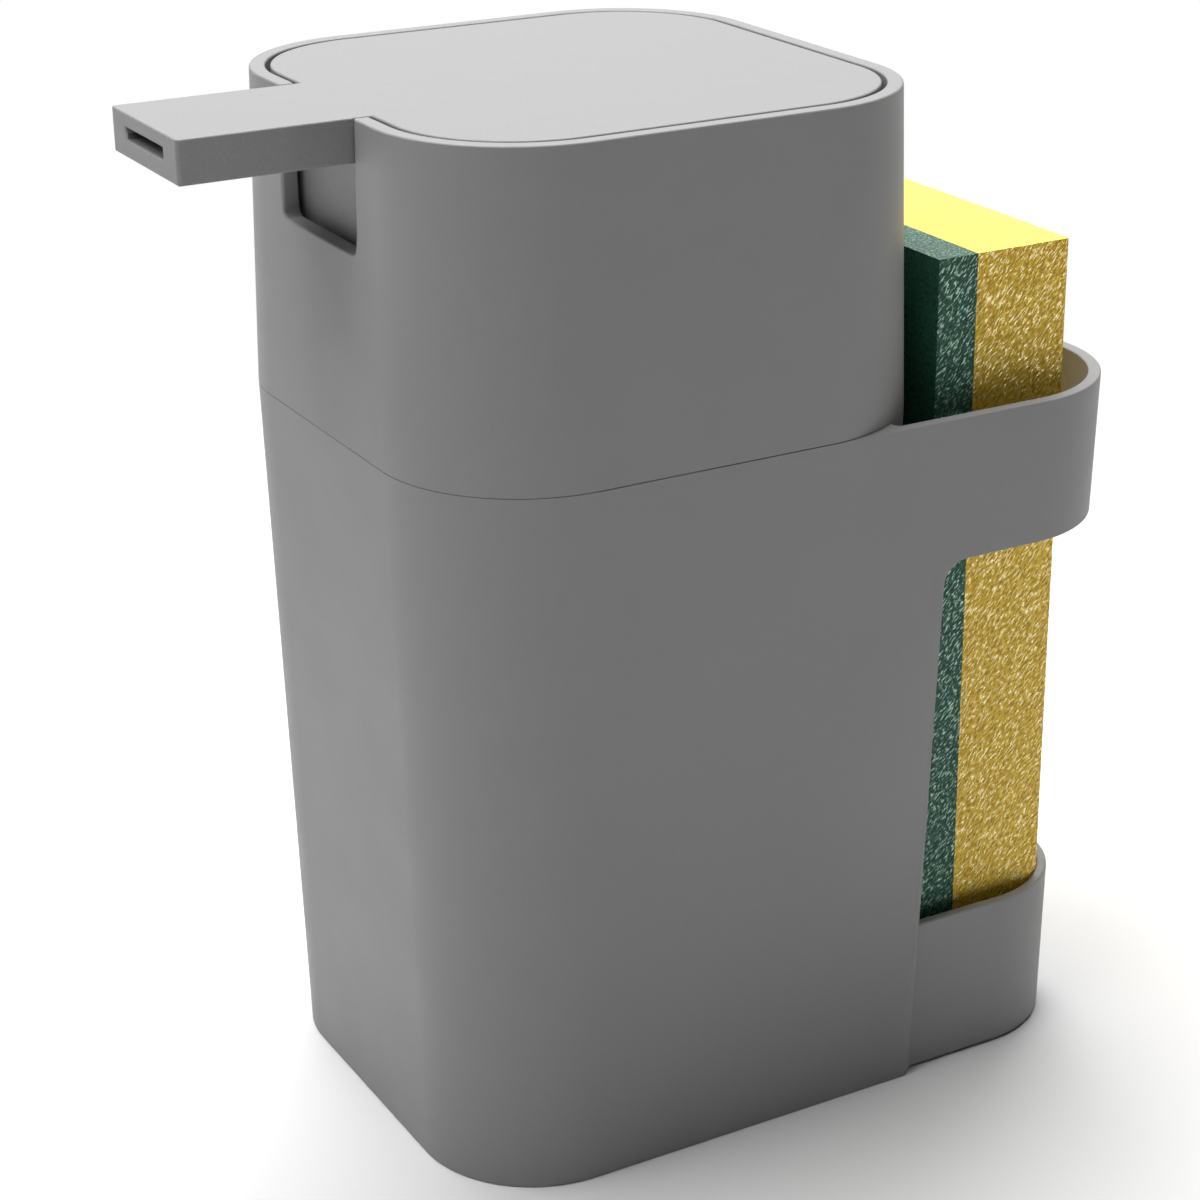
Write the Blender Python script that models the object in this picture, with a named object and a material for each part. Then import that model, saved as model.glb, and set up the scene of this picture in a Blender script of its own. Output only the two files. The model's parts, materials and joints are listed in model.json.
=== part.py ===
"""Dish soap dispenser with a press pump on top and a sponge holder moulded on its back.

Metres, +Z up. The spout points along -Y, and the sponge stands at +Y. The object is centred
over the origin, and every piece is modelled round the pump's upright axis, which the empty
named dispenser carries.
"""

from math import cos, pi, radians, sin, sqrt

import bmesh
import bpy

for leftover in list(bpy.data.objects):
    bpy.data.objects.remove(leftover, do_unlink=True)

# Clearances that several pieces share
GAP = 0.0003
OVERRUN = 0.003

# Soap container: a rounded square that narrows towards its foot
CONTAINER_HEIGHT = 0.1189
MOUTH_HALF_WIDTH = 0.0448
MOUTH_HALF_DEPTH = 0.0440
FRONT_FLAT_HALF_WIDTH = 0.0212
SIDE_DRAFT = 0.0034
FRONT_DRAFT = 0.0026
CORNER_DRAFT = 0.0031
CONTAINER_WALL = 0.0022
CONTAINER_FLOOR = 0.0030
FOOT_RIM = 0.0045
FOOT_RECESS = 0.0010

# Sponge and the room that the holder leaves it
SPONGE_HEIGHT = 0.1364
SPONGE_SIDE_ROOM = 0.0018
SPONGE_FRONT_ROOM = 0.0005
SPONGE_CORNER = 0.0010
PAD_THICKNESS = 0.0077
FOAM_THICKNESS = 0.0175
FOAM_SPRING_BACK = 0.0015

# Sponge holder: fins, band and cup
HOLDER_WALL = 0.0021
HOLDER_BACK_ROOM = 0.0104
HOLDER_CORNER = 0.0218
HOLDER_BACK_DRAFT = 0.0014
BAND_HEIGHT = 0.0242
FIN_SETBACK = 0.0012
FIN_FOOT_FILLET = 0.0020
WINDOW_FILLET = 0.0040
BAY_TIP_RADIUS = 0.0010
CUP_HEIGHT = 0.0283
CUP_WALL = 0.0017
CUP_FLOOR = 0.0020
CUP_LIFT = 0.0004
CUP_BITE = 0.00055
CUP_BACK_ROOM = 0.0068
CUP_CORNER = 0.0190
DRAIN_RIB_HEIGHT = 0.0030
DRAIN_RIB_WIDTH = 0.0020
DRAIN_RIB_PITCH = 0.0180
DRAIN_RIBS = 3

# Head housing
HEAD_HEIGHT = 0.0511
HEAD_DRAFT = 0.0012
HEAD_CORNER_DRAFT = 0.0006
RIM_WALL = 0.0025
EDGE_FILLET = 0.0005
DECK_RISE = 0.0071
DECK_THICKNESS = 0.0025
LIP_DEPTH = 0.0080
LIP_WALL = 0.0026
SEAL_HEIGHT = 0.0020
SEAL_THICKNESS = 0.0012
SEAL_DROP = 0.0030
NOTCH_SIDE_ROOM = 0.0004
NOTCH_FLOOR_ROOM = 0.0017
NOTCH_CORNER = 0.0015

# Push head with its spout
PRESS_TRAVEL = 0.0120
PLATE_ROOM = 0.0008
PLATE_THICKNESS = 0.0024
SKIRT_WALL = 0.0018
SKIRT_DECK_ROOM = 0.0055
SPOUT_REACH = 0.0695
SPOUT_HALF_WIDTH = 0.0130
SPOUT_HEIGHT = 0.0067
SPOUT_TIP_CORNER = 0.0008
DUCT_HALF_WIDTH = 0.0074
DUCT_HEIGHT = 0.0019
DUCT_DROP = 0.0021
DUCT_WALL = 0.0016
STEM_BOSS_WALL = 0.0020
PLATE_RIB_HEIGHT = 0.0060
PLATE_RIB_WIDTH = 0.0012

# Pump
PUMP_BORE_RADIUS = 0.0075
PUMP_WALL = 0.0015
FLANGE_WIDTH = 0.0040
FLANGE_THICKNESS = 0.0020
GASKET_THICKNESS = 0.0012
GUIDE_FLANGE_THICKNESS = 0.0015
GUIDE_WALL = 0.0015
GUIDE_NECK_STAND = 0.0018
GUIDE_PLUG_DEPTH = 0.0085
COLLAR_SEAT_WALL = 0.0020
COLLAR_SEAT_HEIGHT = 0.0054
COLLAR_WALL = 0.0020
COLLAR_TOP_THICKNESS = 0.0023
COLLAR_GRIPS = 12
COLLAR_GRIP_WIDTH = 0.0030
COLLAR_GRIP_DEPTH = 0.0006
BOSS_NECK_ROOM = 0.0010
STEM_RADIUS = 0.0037
STEM_BORE_RADIUS = 0.00225
STEM_THROAT_RADIUS = 0.0013
STEM_SEAT_DEPTH = 0.0010
STEM_SHOULDER_RADIUS = 0.0052
STEM_SHOULDER_HEIGHT = 0.0012
STEM_FOOT_ROOM = 0.0007
STEM_FOOT_HEIGHT = 0.0015
PISTON_HEIGHT = 0.0100
PISTON_LIP = 0.0022
PISTON_WAIST_DEPTH = 0.0009
OUTLET_BALL_RADIUS = 0.0019
OUTLET_BALL_LIFT = 0.0015
INLET_BALL_RADIUS = 0.0030
INLET_BALL_LIFT = 0.0015
INLET_BALL_SIDE_ROOM = 0.0006
INLET_THROAT_RADIUS = 0.0020
INLET_THROAT_HEIGHT = 0.0020
INLET_LIP_WIDTH = 0.0009
INLET_LIP_HEIGHT = 0.0010
PUMP_CHAMBER_DEPTH = 0.0483
PUMP_CONE_HEIGHT = 0.0030
WELL_WALL = 0.0018
SOCKET_DEPTH = 0.0120
SOCKET_WALL = 0.0015
TUBE_RADIUS = 0.0030
TUBE_BORE_RADIUS = 0.0020
TUBE_FOOT_ROOM = 0.0042
TUBE_BEVEL_RISE = 0.0030
SPRING_WIRE_RADIUS = 0.0005
SPRING_SIDE_ROOM = 0.0012
SPRING_TURNS = 8
SPRING_STEPS_PER_TURN = 16

# Smoothness
CORNER_STEPS = 14
SMALL_CORNER_STEPS = 4
FILLET_STEPS = 3
TURNED_STEPS = 32
SMALL_TURNED_STEPS = 20

# The corners take what the flat of the front leaves
MOUTH_CORNER = MOUTH_HALF_WIDTH - FRONT_FLAT_HALF_WIDTH

# Depths that follow from the sponge, measured back from the pump's axis
PAD_FRONT = MOUTH_HALF_DEPTH + SPONGE_FRONT_ROOM
FOAM_FRONT = PAD_FRONT + PAD_THICKNESS
FOAM_BACK = FOAM_FRONT + FOAM_THICKNESS
HOLDER_BACK = FOAM_BACK + HOLDER_BACK_ROOM + HOLDER_WALL
CUP_BACK = FOAM_BACK + CUP_BACK_ROOM + CUP_WALL
PUMP_AXIS_Y = (SPOUT_REACH - HOLDER_BACK) / 2

# Heights of the sponge, which stands on the cup's drain ribs
SPONGE_BOTTOM = CUP_LIFT + CUP_FLOOR + DRAIN_RIB_HEIGHT + GAP
SPONGE_TOP = SPONGE_BOTTOM + SPONGE_HEIGHT

# Heights of the head and the push head
TOTAL_HEIGHT = CONTAINER_HEIGHT + HEAD_HEIGHT
DECK_BOTTOM = CONTAINER_HEIGHT + DECK_RISE
DECK_TOP = DECK_BOTTOM + DECK_THICKNESS
SKIRT_BOTTOM = DECK_TOP + PRESS_TRAVEL + SKIRT_DECK_ROOM
PLATE_BOTTOM = TOTAL_HEIGHT - PLATE_THICKNESS
SPOUT_BOTTOM = TOTAL_HEIGHT - SPOUT_HEIGHT
NOTCH_BOTTOM = SPOUT_BOTTOM - PRESS_TRAVEL - NOTCH_FLOOR_ROOM
DUCT_TOP = TOTAL_HEIGHT - DUCT_DROP
DUCT_BOTTOM = DUCT_TOP - DUCT_HEIGHT

# Pump heights, stacked up from the deck
GASKET_BOTTOM = DECK_TOP + GAP
FLANGE_BOTTOM = GASKET_BOTTOM + GASKET_THICKNESS + GAP
FLANGE_TOP = FLANGE_BOTTOM + FLANGE_THICKNESS
GUIDE_BOTTOM = FLANGE_TOP + GAP
GUIDE_TOP = GUIDE_BOTTOM + GUIDE_FLANGE_THICKNESS
COLLAR_CEILING = GUIDE_TOP + GAP
COLLAR_TOP = COLLAR_CEILING + COLLAR_TOP_THICKNESS
NECK_TOP = COLLAR_TOP + GUIDE_NECK_STAND
BOSS_BOTTOM = NECK_TOP + PRESS_TRAVEL + BOSS_NECK_ROOM

# Pump heights, down from the stem's seat in the push head
BORE_CEILING = DUCT_BOTTOM - DUCT_WALL - STEM_SEAT_DEPTH
STEM_TOP = BORE_CEILING - GAP
OUTLET_BALL_REST = sqrt((OUTLET_BALL_RADIUS + GAP) ** 2 - STEM_THROAT_RADIUS**2)
OUTLET_BALL_Z = BORE_CEILING - GAP - OUTLET_BALL_LIFT - OUTLET_BALL_RADIUS
OUTLET_SEAT = OUTLET_BALL_Z - OUTLET_BALL_REST

# Pump heights, down from the stem guide
PLUG_BOTTOM = GUIDE_BOTTOM - GUIDE_PLUG_DEPTH
SHOULDER_TOP = PLUG_BOTTOM - GAP
SHOULDER_BOTTOM = SHOULDER_TOP - STEM_SHOULDER_HEIGHT
PISTON_TOP = SHOULDER_BOTTOM - GAP
PISTON_BOTTOM = PISTON_TOP - PISTON_HEIGHT
STEM_FOOT_TOP = PISTON_BOTTOM - GAP
STEM_BOTTOM = STEM_FOOT_TOP - STEM_FOOT_HEIGHT
CHAMBER_BOTTOM = FLANGE_TOP - PUMP_CHAMBER_DEPTH
WELL_TOP = CHAMBER_BOTTOM - INLET_LIP_HEIGHT
INLET_BALL_Z = WELL_TOP - GAP - INLET_BALL_LIFT - INLET_BALL_RADIUS
INLET_BALL_REST = sqrt((INLET_BALL_RADIUS + GAP) ** 2 - INLET_THROAT_RADIUS**2)
INLET_SEAT = INLET_BALL_Z - INLET_BALL_REST
SOCKET_TOP = INLET_SEAT - INLET_THROAT_HEIGHT
SOCKET_BOTTOM = SOCKET_TOP - SOCKET_DEPTH
TUBE_TOP = SOCKET_TOP - GAP
TUBE_BOTTOM = CONTAINER_FLOOR + TUBE_FOOT_ROOM
SPRING_TOP = STEM_BOTTOM - GAP
SPRING_BOTTOM = CHAMBER_BOTTOM + GAP

# Pump radii
CYLINDER_RADIUS = PUMP_BORE_RADIUS + PUMP_WALL
FLANGE_RADIUS = CYLINDER_RADIUS + FLANGE_WIDTH
DECK_HOLE_RADIUS = CYLINDER_RADIUS + GAP
COLLAR_SEAT_BORE = FLANGE_RADIUS + GAP
COLLAR_SEAT_RADIUS = COLLAR_SEAT_BORE + COLLAR_SEAT_WALL
COLLAR_BORE = COLLAR_SEAT_RADIUS + GAP
COLLAR_RADIUS = COLLAR_BORE + COLLAR_WALL
GUIDE_BORE = STEM_RADIUS + GAP
NECK_RADIUS = GUIDE_BORE + GUIDE_WALL
BOSS_BORE = STEM_RADIUS + GAP
BOSS_RADIUS = BOSS_BORE + STEM_BOSS_WALL
PISTON_RADIUS = PUMP_BORE_RADIUS - GAP
STEM_FOOT_RADIUS = PUMP_BORE_RADIUS - STEM_FOOT_ROOM
WELL_BORE = INLET_BALL_RADIUS + INLET_BALL_SIDE_ROOM
WELL_RADIUS = WELL_BORE + WELL_WALL
SOCKET_BORE = TUBE_RADIUS + GAP
SOCKET_RADIUS = SOCKET_BORE + SOCKET_WALL
SPRING_RADIUS = PUMP_BORE_RADIUS - SPRING_SIDE_ROOM - SPRING_WIRE_RADIUS

# Head and plate sizes at the top
RIM_HALF_WIDTH = MOUTH_HALF_WIDTH - HEAD_DRAFT
RIM_HALF_DEPTH = MOUTH_HALF_DEPTH - HEAD_DRAFT
RIM_CORNER = MOUTH_CORNER - HEAD_CORNER_DRAFT
PLATE_HALF_WIDTH = RIM_HALF_WIDTH - RIM_WALL - PLATE_ROOM
PLATE_HALF_DEPTH = RIM_HALF_DEPTH - RIM_WALL - PLATE_ROOM
PLATE_CORNER = RIM_CORNER - RIM_WALL - PLATE_ROOM

# Looks
GREY = (0.42, 0.42, 0.43)
PALE = (0.80, 0.80, 0.78)
RUBBER = (0.05, 0.05, 0.05)
STEEL = (0.62, 0.62, 0.62)
YELLOW = (0.80, 0.55, 0.08)
GREEN = (0.01, 0.06, 0.03)


def material(name, colour, roughness, metallic=0.0):
    """One Principled material per piece."""
    made = bpy.data.materials.new(name)
    made.use_nodes = True
    shader = made.node_tree.nodes["Principled BSDF"]
    shader.inputs["Base Color"].default_value = (*colour, 1.0)
    shader.inputs["Roughness"].default_value = roughness
    shader.inputs["Metallic"].default_value = metallic
    return made


def empty(name, location, parent=None):
    """An empty that carries the pieces of one moving body."""
    made = bpy.data.objects.new(name, None)
    bpy.context.scene.collection.objects.link(made)
    made.location = location
    made.parent = parent
    return made


def finish(name, shape, parent):
    """Turn a bmesh into an object with its faces pointing out."""
    bmesh.ops.recalc_face_normals(shape, faces=shape.faces)
    mesh = bpy.data.meshes.new(name)
    shape.to_mesh(mesh)
    shape.free()
    made = bpy.data.objects.new(name, mesh)
    bpy.context.scene.collection.objects.link(made)
    made.parent = parent
    return made


def boolean(target, operation, *tools):
    """Cut, or join, each tool with the target, and leave the tool as a wire guide."""
    for tool in tools:
        step = target.modifiers.new(tool.name, "BOOLEAN")
        step.operation = operation
        step.solver = "EXACT"
        step.object = tool
        tool.hide_render = True
        tool.display_type = "WIRE"


def dress(target, colour, roughness, metallic=0.0):
    """Give a finished piece its material and soft shading."""
    target.data.materials.append(material(target.name, colour, roughness, metallic))
    target.data.shade_smooth()
    target.data.set_sharp_from_angle(angle=radians(30))
    return target


def arc(centre_x, centre_y, radius, start, end, steps):
    """Points on an arc, with angles in degrees."""
    points = []
    for step in range(steps + 1):
        angle = radians(start + (end - start) * step / steps)
        points.append((centre_x + radius * cos(angle), centre_y + radius * sin(angle)))
    return points


def rounded_outline(half_width, front, back, front_corner, back_corner):
    """Plan outline with round corners, counter-clockwise from the right front."""
    right_front = half_width - front_corner
    right_back = half_width - back_corner
    return (
        arc(right_front, front + front_corner, front_corner, -90, 0, CORNER_STEPS)
        + arc(right_back, back - back_corner, back_corner, 0, 90, CORNER_STEPS)
        + arc(-right_back, back - back_corner, back_corner, 90, 180, CORNER_STEPS)
        + arc(-right_front, front + front_corner, front_corner, 180, 270, CORNER_STEPS)
    )


def skin(shape, rings):
    """Faces between rings that have the same number of vertices."""
    for lower, upper in zip(rings, rings[1:]):
        for index in range(len(lower)):
            after = (index + 1) % len(lower)
            shape.faces.new((lower[index], lower[after], upper[after], upper[index]))


def loft(name, levels, parent):
    """A closed solid through plan outlines, each given with its height."""
    shape = bmesh.new()
    rings = []
    for height, outline in levels:
        rings.append([shape.verts.new((x, y, height)) for x, y in outline])
    skin(shape, rings)
    shape.faces.new(rings[0])
    shape.faces.new(rings[-1])
    bmesh.ops.remove_doubles(shape, verts=shape.verts, dist=EDGE_FILLET / 100)
    return finish(name, shape, parent)


def ring_loft(name, bottom, top, outline, outer_inset, inner_inset, parent):
    """A ring between two insets of one outline, which may taper with height."""
    shape = bmesh.new()
    walls = []
    for height, inset in (
        (bottom, outer_inset),
        (top, outer_inset),
        (top, inner_inset),
        (bottom, inner_inset),
    ):
        walls.append([shape.verts.new((x, y, height)) for x, y in outline(height, inset)])
    skin(shape, walls + walls[:1])
    return finish(name, shape, parent)


def prism(name, profile, low, high, axis, parent):
    """Extrude a profile along X or Y. The profile lies in the other axis and Z."""
    shape = bmesh.new()
    rings = []
    for reach in (low, high):
        if axis == "X":
            rings.append([shape.verts.new((reach, across, up)) for across, up in profile])
        else:
            rings.append([shape.verts.new((across, reach, up)) for across, up in profile])
    skin(shape, rings)
    shape.faces.new(rings[0])
    shape.faces.new(rings[1])
    return finish(name, shape, parent)


def box(name, low, high, parent):
    """A plain block between two corners."""
    profile = ((low[1], low[2]), (high[1], low[2]), (high[1], high[2]), (low[1], high[2]))
    return prism(name, profile, low[0], high[0], "X", parent)


def turned(name, profile, parent, steps=TURNED_STEPS):
    """Turn a closed profile of radii and heights round the pump's axis."""
    shape = bmesh.new()
    rings = []
    for radius, height in profile:
        if radius == 0:
            rings.append([shape.verts.new((0, 0, height))] * steps)
            continue
        ring = []
        for step in range(steps):
            angle = 2 * pi * step / steps
            ring.append(shape.verts.new((radius * cos(angle), radius * sin(angle), height)))
        rings.append(ring)
    for lower, upper in zip(rings, rings[1:] + rings[:1]):
        for index in range(steps):
            after = (index + 1) % steps
            corners = []
            for corner in (lower[index], lower[after], upper[after], upper[index]):
                if corner not in corners:
                    corners.append(corner)
            if len(corners) > 2:
                shape.faces.new(corners)
    return finish(name, shape, parent)


# Outlines that several pieces share


def drafted(top, draft, height):
    """A size of the container at a height, where it has lost a share of its draft."""
    return top - draft * (1 - height / CONTAINER_HEIGHT)


def body_outline(height, inset):
    """Outside of the soap container, drawn in by an inset."""
    half_width = drafted(MOUTH_HALF_WIDTH, SIDE_DRAFT, height) - inset
    half_depth = drafted(MOUTH_HALF_DEPTH, FRONT_DRAFT, height) - inset
    corner = drafted(MOUTH_CORNER, CORNER_DRAFT, height) - inset
    return rounded_outline(half_width, -half_depth, half_depth, corner, corner)


def sleeve_outline(height):
    """Outside of the container with the holder's band carried on behind it."""
    half_width = drafted(MOUTH_HALF_WIDTH, SIDE_DRAFT, height)
    front = -drafted(MOUTH_HALF_DEPTH, FRONT_DRAFT, height)
    back = drafted(HOLDER_BACK, HOLDER_BACK_DRAFT, height)
    corner = drafted(MOUTH_CORNER, CORNER_DRAFT, height)
    return rounded_outline(half_width, front, back, corner, HOLDER_CORNER)


def bay_outline(height):
    """Inside of the holder's wall. Its front corners close the wedge beside the container."""
    half_width = drafted(MOUTH_HALF_WIDTH, SIDE_DRAFT, height) - HOLDER_WALL
    half_depth = drafted(MOUTH_HALF_DEPTH, FRONT_DRAFT, height)
    corner = drafted(MOUTH_CORNER, CORNER_DRAFT, height)
    across = corner - HOLDER_WALL - BAY_TIP_RADIUS
    along = sqrt((corner + BAY_TIP_RADIUS) ** 2 - across**2)
    front = half_depth - corner + along - BAY_TIP_RADIUS
    back = drafted(HOLDER_BACK, HOLDER_BACK_DRAFT, height) - HOLDER_WALL
    return rounded_outline(half_width, front, back, BAY_TIP_RADIUS, HOLDER_CORNER - HOLDER_WALL)


def cup_half_width(height):
    """Half width of the cup, whose sides bite a little into the fins."""
    return drafted(MOUTH_HALF_WIDTH, SIDE_DRAFT, height) - HOLDER_WALL + CUP_BITE


def cup_outline(height, inset, front):
    """Plan of the sponge cup, from a front inside the container to its rounded back."""
    half_width = cup_half_width(height) - inset
    return rounded_outline(half_width, front, CUP_BACK - inset, BAY_TIP_RADIUS, CUP_CORNER - inset)


def head_outline(inset, share):
    """Outside of the head, which narrows from the parting line up to its rim."""
    half_width = MOUTH_HALF_WIDTH - HEAD_DRAFT * share - inset
    half_depth = MOUTH_HALF_DEPTH - HEAD_DRAFT * share - inset
    corner = MOUTH_CORNER - HEAD_CORNER_DRAFT * share - inset
    return rounded_outline(half_width, -half_depth, half_depth, corner, corner)


def push_outline(inset, reach):
    """Plate outline with a straight tongue for the spout, counter-clockwise."""
    front = -PLATE_HALF_DEPTH + inset
    spout = SPOUT_HALF_WIDTH - inset
    tip_corner = SPOUT_TIP_CORNER
    tip_x = spout - tip_corner
    tip_y = -reach + inset + tip_corner
    tongue = arc(-tip_x, tip_y, tip_corner, 180, 270, SMALL_CORNER_STEPS)
    tongue += arc(tip_x, tip_y, tip_corner, 270, 360, SMALL_CORNER_STEPS)
    tongue = [(x, min(y, front)) for x, y in tongue]
    half_width = PLATE_HALF_WIDTH - inset
    corner = PLATE_CORNER - inset
    plate = rounded_outline(half_width, front, -front, corner, corner)
    return [(-spout, front)] + tongue + [(spout, front)] + plate


# Pieces


def make_container(parent):
    """Container, fins, band and cup in one moulding."""
    above = CONTAINER_HEIGHT + OVERRUN
    sleeve = loft(
        "container",
        [(0, sleeve_outline(0)), (CONTAINER_HEIGHT, sleeve_outline(CONTAINER_HEIGHT))],
        parent,
    )

    bay = loft("bay_cut", [(-OVERRUN, bay_outline(-OVERRUN)), (above, bay_outline(above))], parent)
    band_bottom = CONTAINER_HEIGHT - BAND_HEIGHT
    corner_z = band_bottom - WINDOW_FILLET
    fin_top = drafted(MOUTH_HALF_DEPTH, FRONT_DRAFT, corner_z) - FIN_SETBACK
    fin_foot = drafted(MOUTH_HALF_DEPTH, FRONT_DRAFT, 0) - FIN_SETBACK - FIN_FOOT_FILLET
    window_profile = [(fin_foot, -OVERRUN)]
    window_profile += arc(fin_foot, FIN_FOOT_FILLET, FIN_FOOT_FILLET, -90, 0, SMALL_CORNER_STEPS)
    window_profile += arc(fin_top + WINDOW_FILLET, corner_z, WINDOW_FILLET, 180, 90, CORNER_STEPS)
    window_profile += [(HOLDER_BACK + OVERRUN, band_bottom), (HOLDER_BACK + OVERRUN, -OVERRUN)]
    reach = MOUTH_HALF_WIDTH + OVERRUN
    window = prism("window_cut", window_profile, -reach, reach, "X", parent)
    low = -2 * OVERRUN
    high = CONTAINER_HEIGHT + 2 * OVERRUN
    block = loft(
        "body_guide", [(low, body_outline(low, 0)), (high, body_outline(high, 0))], parent
    )
    boolean(bay, "UNION", window)
    boolean(bay, "DIFFERENCE", block)

    cup = make_cup(parent)
    cavity = loft(
        "cavity_cut",
        [
            (CONTAINER_FLOOR, body_outline(CONTAINER_FLOOR, CONTAINER_WALL)),
            (above, body_outline(above, CONTAINER_WALL)),
        ],
        parent,
    )
    recess = loft(
        "foot_cut",
        [(-OVERRUN, body_outline(0, FOOT_RIM)), (FOOT_RECESS, body_outline(0, FOOT_RIM))],
        parent,
    )
    boolean(sleeve, "DIFFERENCE", bay)
    boolean(sleeve, "UNION", cup)
    boolean(sleeve, "DIFFERENCE", cavity, recess)
    return dress(sleeve, GREY, 0.5)


def make_cup(parent):
    """Sponge cup with drain ribs on its floor, open at the front where the container closes it."""
    front = drafted(MOUTH_HALF_DEPTH, FRONT_DRAFT, 0) - drafted(MOUTH_CORNER, CORNER_DRAFT, 0)
    floor = CUP_LIFT + CUP_FLOOR
    above = CUP_HEIGHT + OVERRUN
    cup = loft(
        "cup_guide",
        [
            (CUP_LIFT, cup_outline(CUP_LIFT, 0, front)),
            (CUP_HEIGHT, cup_outline(CUP_HEIGHT, 0, front)),
        ],
        parent,
    )
    inside = loft(
        "cup_cut",
        [
            (floor, cup_outline(floor, CUP_WALL, front - OVERRUN)),
            (above, cup_outline(above, CUP_WALL, front - OVERRUN)),
        ],
        parent,
    )
    boolean(cup, "DIFFERENCE", inside)
    rib_front = drafted(MOUTH_HALF_DEPTH, FRONT_DRAFT, 0) - CONTAINER_WALL / 2
    for number in range(DRAIN_RIBS):
        middle = (number - (DRAIN_RIBS - 1) / 2) * DRAIN_RIB_PITCH
        low = (middle - DRAIN_RIB_WIDTH / 2, rib_front, floor - CUP_FLOOR / 2)
        high = (middle + DRAIN_RIB_WIDTH / 2, CUP_BACK - CUP_WALL / 2, floor + DRAIN_RIB_HEIGHT)
        boolean(cup, "UNION", box(f"drain_rib_{number + 1}", low, high, parent))
    return cup


def make_head_housing(parent):
    """Housing that plugs into the container and holds the pump on its deck."""
    levels = [(CONTAINER_HEIGHT + GAP, head_outline(0, 0))]
    for step in range(FILLET_STEPS + 1):
        angle = pi / 2 * step / FILLET_STEPS
        inset = EDGE_FILLET * (1 - cos(angle))
        levels.append((TOTAL_HEIGHT - EDGE_FILLET * (1 - sin(angle)), head_outline(inset, 1)))
    housing = loft("head_housing", levels, parent)

    lip_bottom = CONTAINER_HEIGHT - LIP_DEPTH
    lip_inset = CONTAINER_WALL + GAP
    lip_top = DECK_BOTTOM + DECK_THICKNESS / 2
    lip = loft(
        "lip_guide",
        [
            (lip_bottom, body_outline(lip_bottom, lip_inset)),
            (lip_top, body_outline(lip_bottom, lip_inset)),
        ],
        parent,
    )
    under = lip_bottom - OVERRUN
    under_deck = loft(
        "under_deck_cut",
        [
            (under, body_outline(lip_bottom, lip_inset + LIP_WALL)),
            (DECK_BOTTOM, body_outline(lip_bottom, lip_inset + LIP_WALL)),
        ],
        parent,
    )
    well = loft(
        "well_cut",
        [(DECK_TOP, head_outline(RIM_WALL, 1)), (TOTAL_HEIGHT + OVERRUN, head_outline(RIM_WALL, 1))],
        parent,
    )
    half_notch = SPOUT_HALF_WIDTH + NOTCH_SIDE_ROOM
    notch_top = TOTAL_HEIGHT + OVERRUN
    inner = half_notch - NOTCH_CORNER
    bend = NOTCH_BOTTOM + NOTCH_CORNER
    notch_profile = arc(-inner, bend, NOTCH_CORNER, 180, 270, SMALL_CORNER_STEPS)
    notch_profile += arc(inner, bend, NOTCH_CORNER, 270, 360, SMALL_CORNER_STEPS)
    notch_profile += [(half_notch, notch_top), (-half_notch, notch_top)]
    notch_front = -MOUTH_HALF_DEPTH - OVERRUN
    notch = prism("notch_cut", notch_profile, notch_front, -PLATE_HALF_DEPTH, "Y", parent)

    seal_top = CONTAINER_HEIGHT - SEAL_DROP
    seal_bottom = seal_top - SEAL_HEIGHT
    groove = ring_loft(
        "seal_groove_cut",
        seal_bottom - GAP,
        seal_top + GAP,
        lambda height, inset: body_outline(lip_bottom, inset),
        lip_inset - OVERRUN,
        lip_inset + SEAL_THICKNESS + GAP,
        parent,
    )
    hole = turned(
        "deck_hole_cut",
        [
            (0, DECK_BOTTOM - OVERRUN),
            (DECK_HOLE_RADIUS, DECK_BOTTOM - OVERRUN),
            (DECK_HOLE_RADIUS, DECK_TOP + OVERRUN),
            (0, DECK_TOP + OVERRUN),
        ],
        parent,
    )
    seat_top = DECK_TOP + COLLAR_SEAT_HEIGHT
    seat = turned(
        "collar_seat_guide",
        [
            (COLLAR_SEAT_BORE, DECK_TOP - DECK_THICKNESS / 2),
            (COLLAR_SEAT_RADIUS, DECK_TOP - DECK_THICKNESS / 2),
            (COLLAR_SEAT_RADIUS, seat_top),
            (COLLAR_SEAT_BORE, seat_top),
        ],
        parent,
    )
    boolean(housing, "UNION", lip)
    boolean(housing, "DIFFERENCE", under_deck, well, notch, groove)
    boolean(housing, "UNION", seat)
    boolean(housing, "DIFFERENCE", hole)
    return dress(housing, GREY, 0.5)


def make_mouth_seal(parent):
    """Soft ring in the lip's groove, which closes the container's mouth."""
    lip_bottom = CONTAINER_HEIGHT - LIP_DEPTH
    seal_top = CONTAINER_HEIGHT - SEAL_DROP
    lip_inset = CONTAINER_WALL + GAP
    seal = ring_loft(
        "mouth_seal",
        seal_top - SEAL_HEIGHT,
        seal_top,
        lambda height, inset: body_outline(lip_bottom, inset),
        lip_inset,
        lip_inset + SEAL_THICKNESS,
        parent,
    )
    return dress(seal, RUBBER, 0.7)


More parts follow.
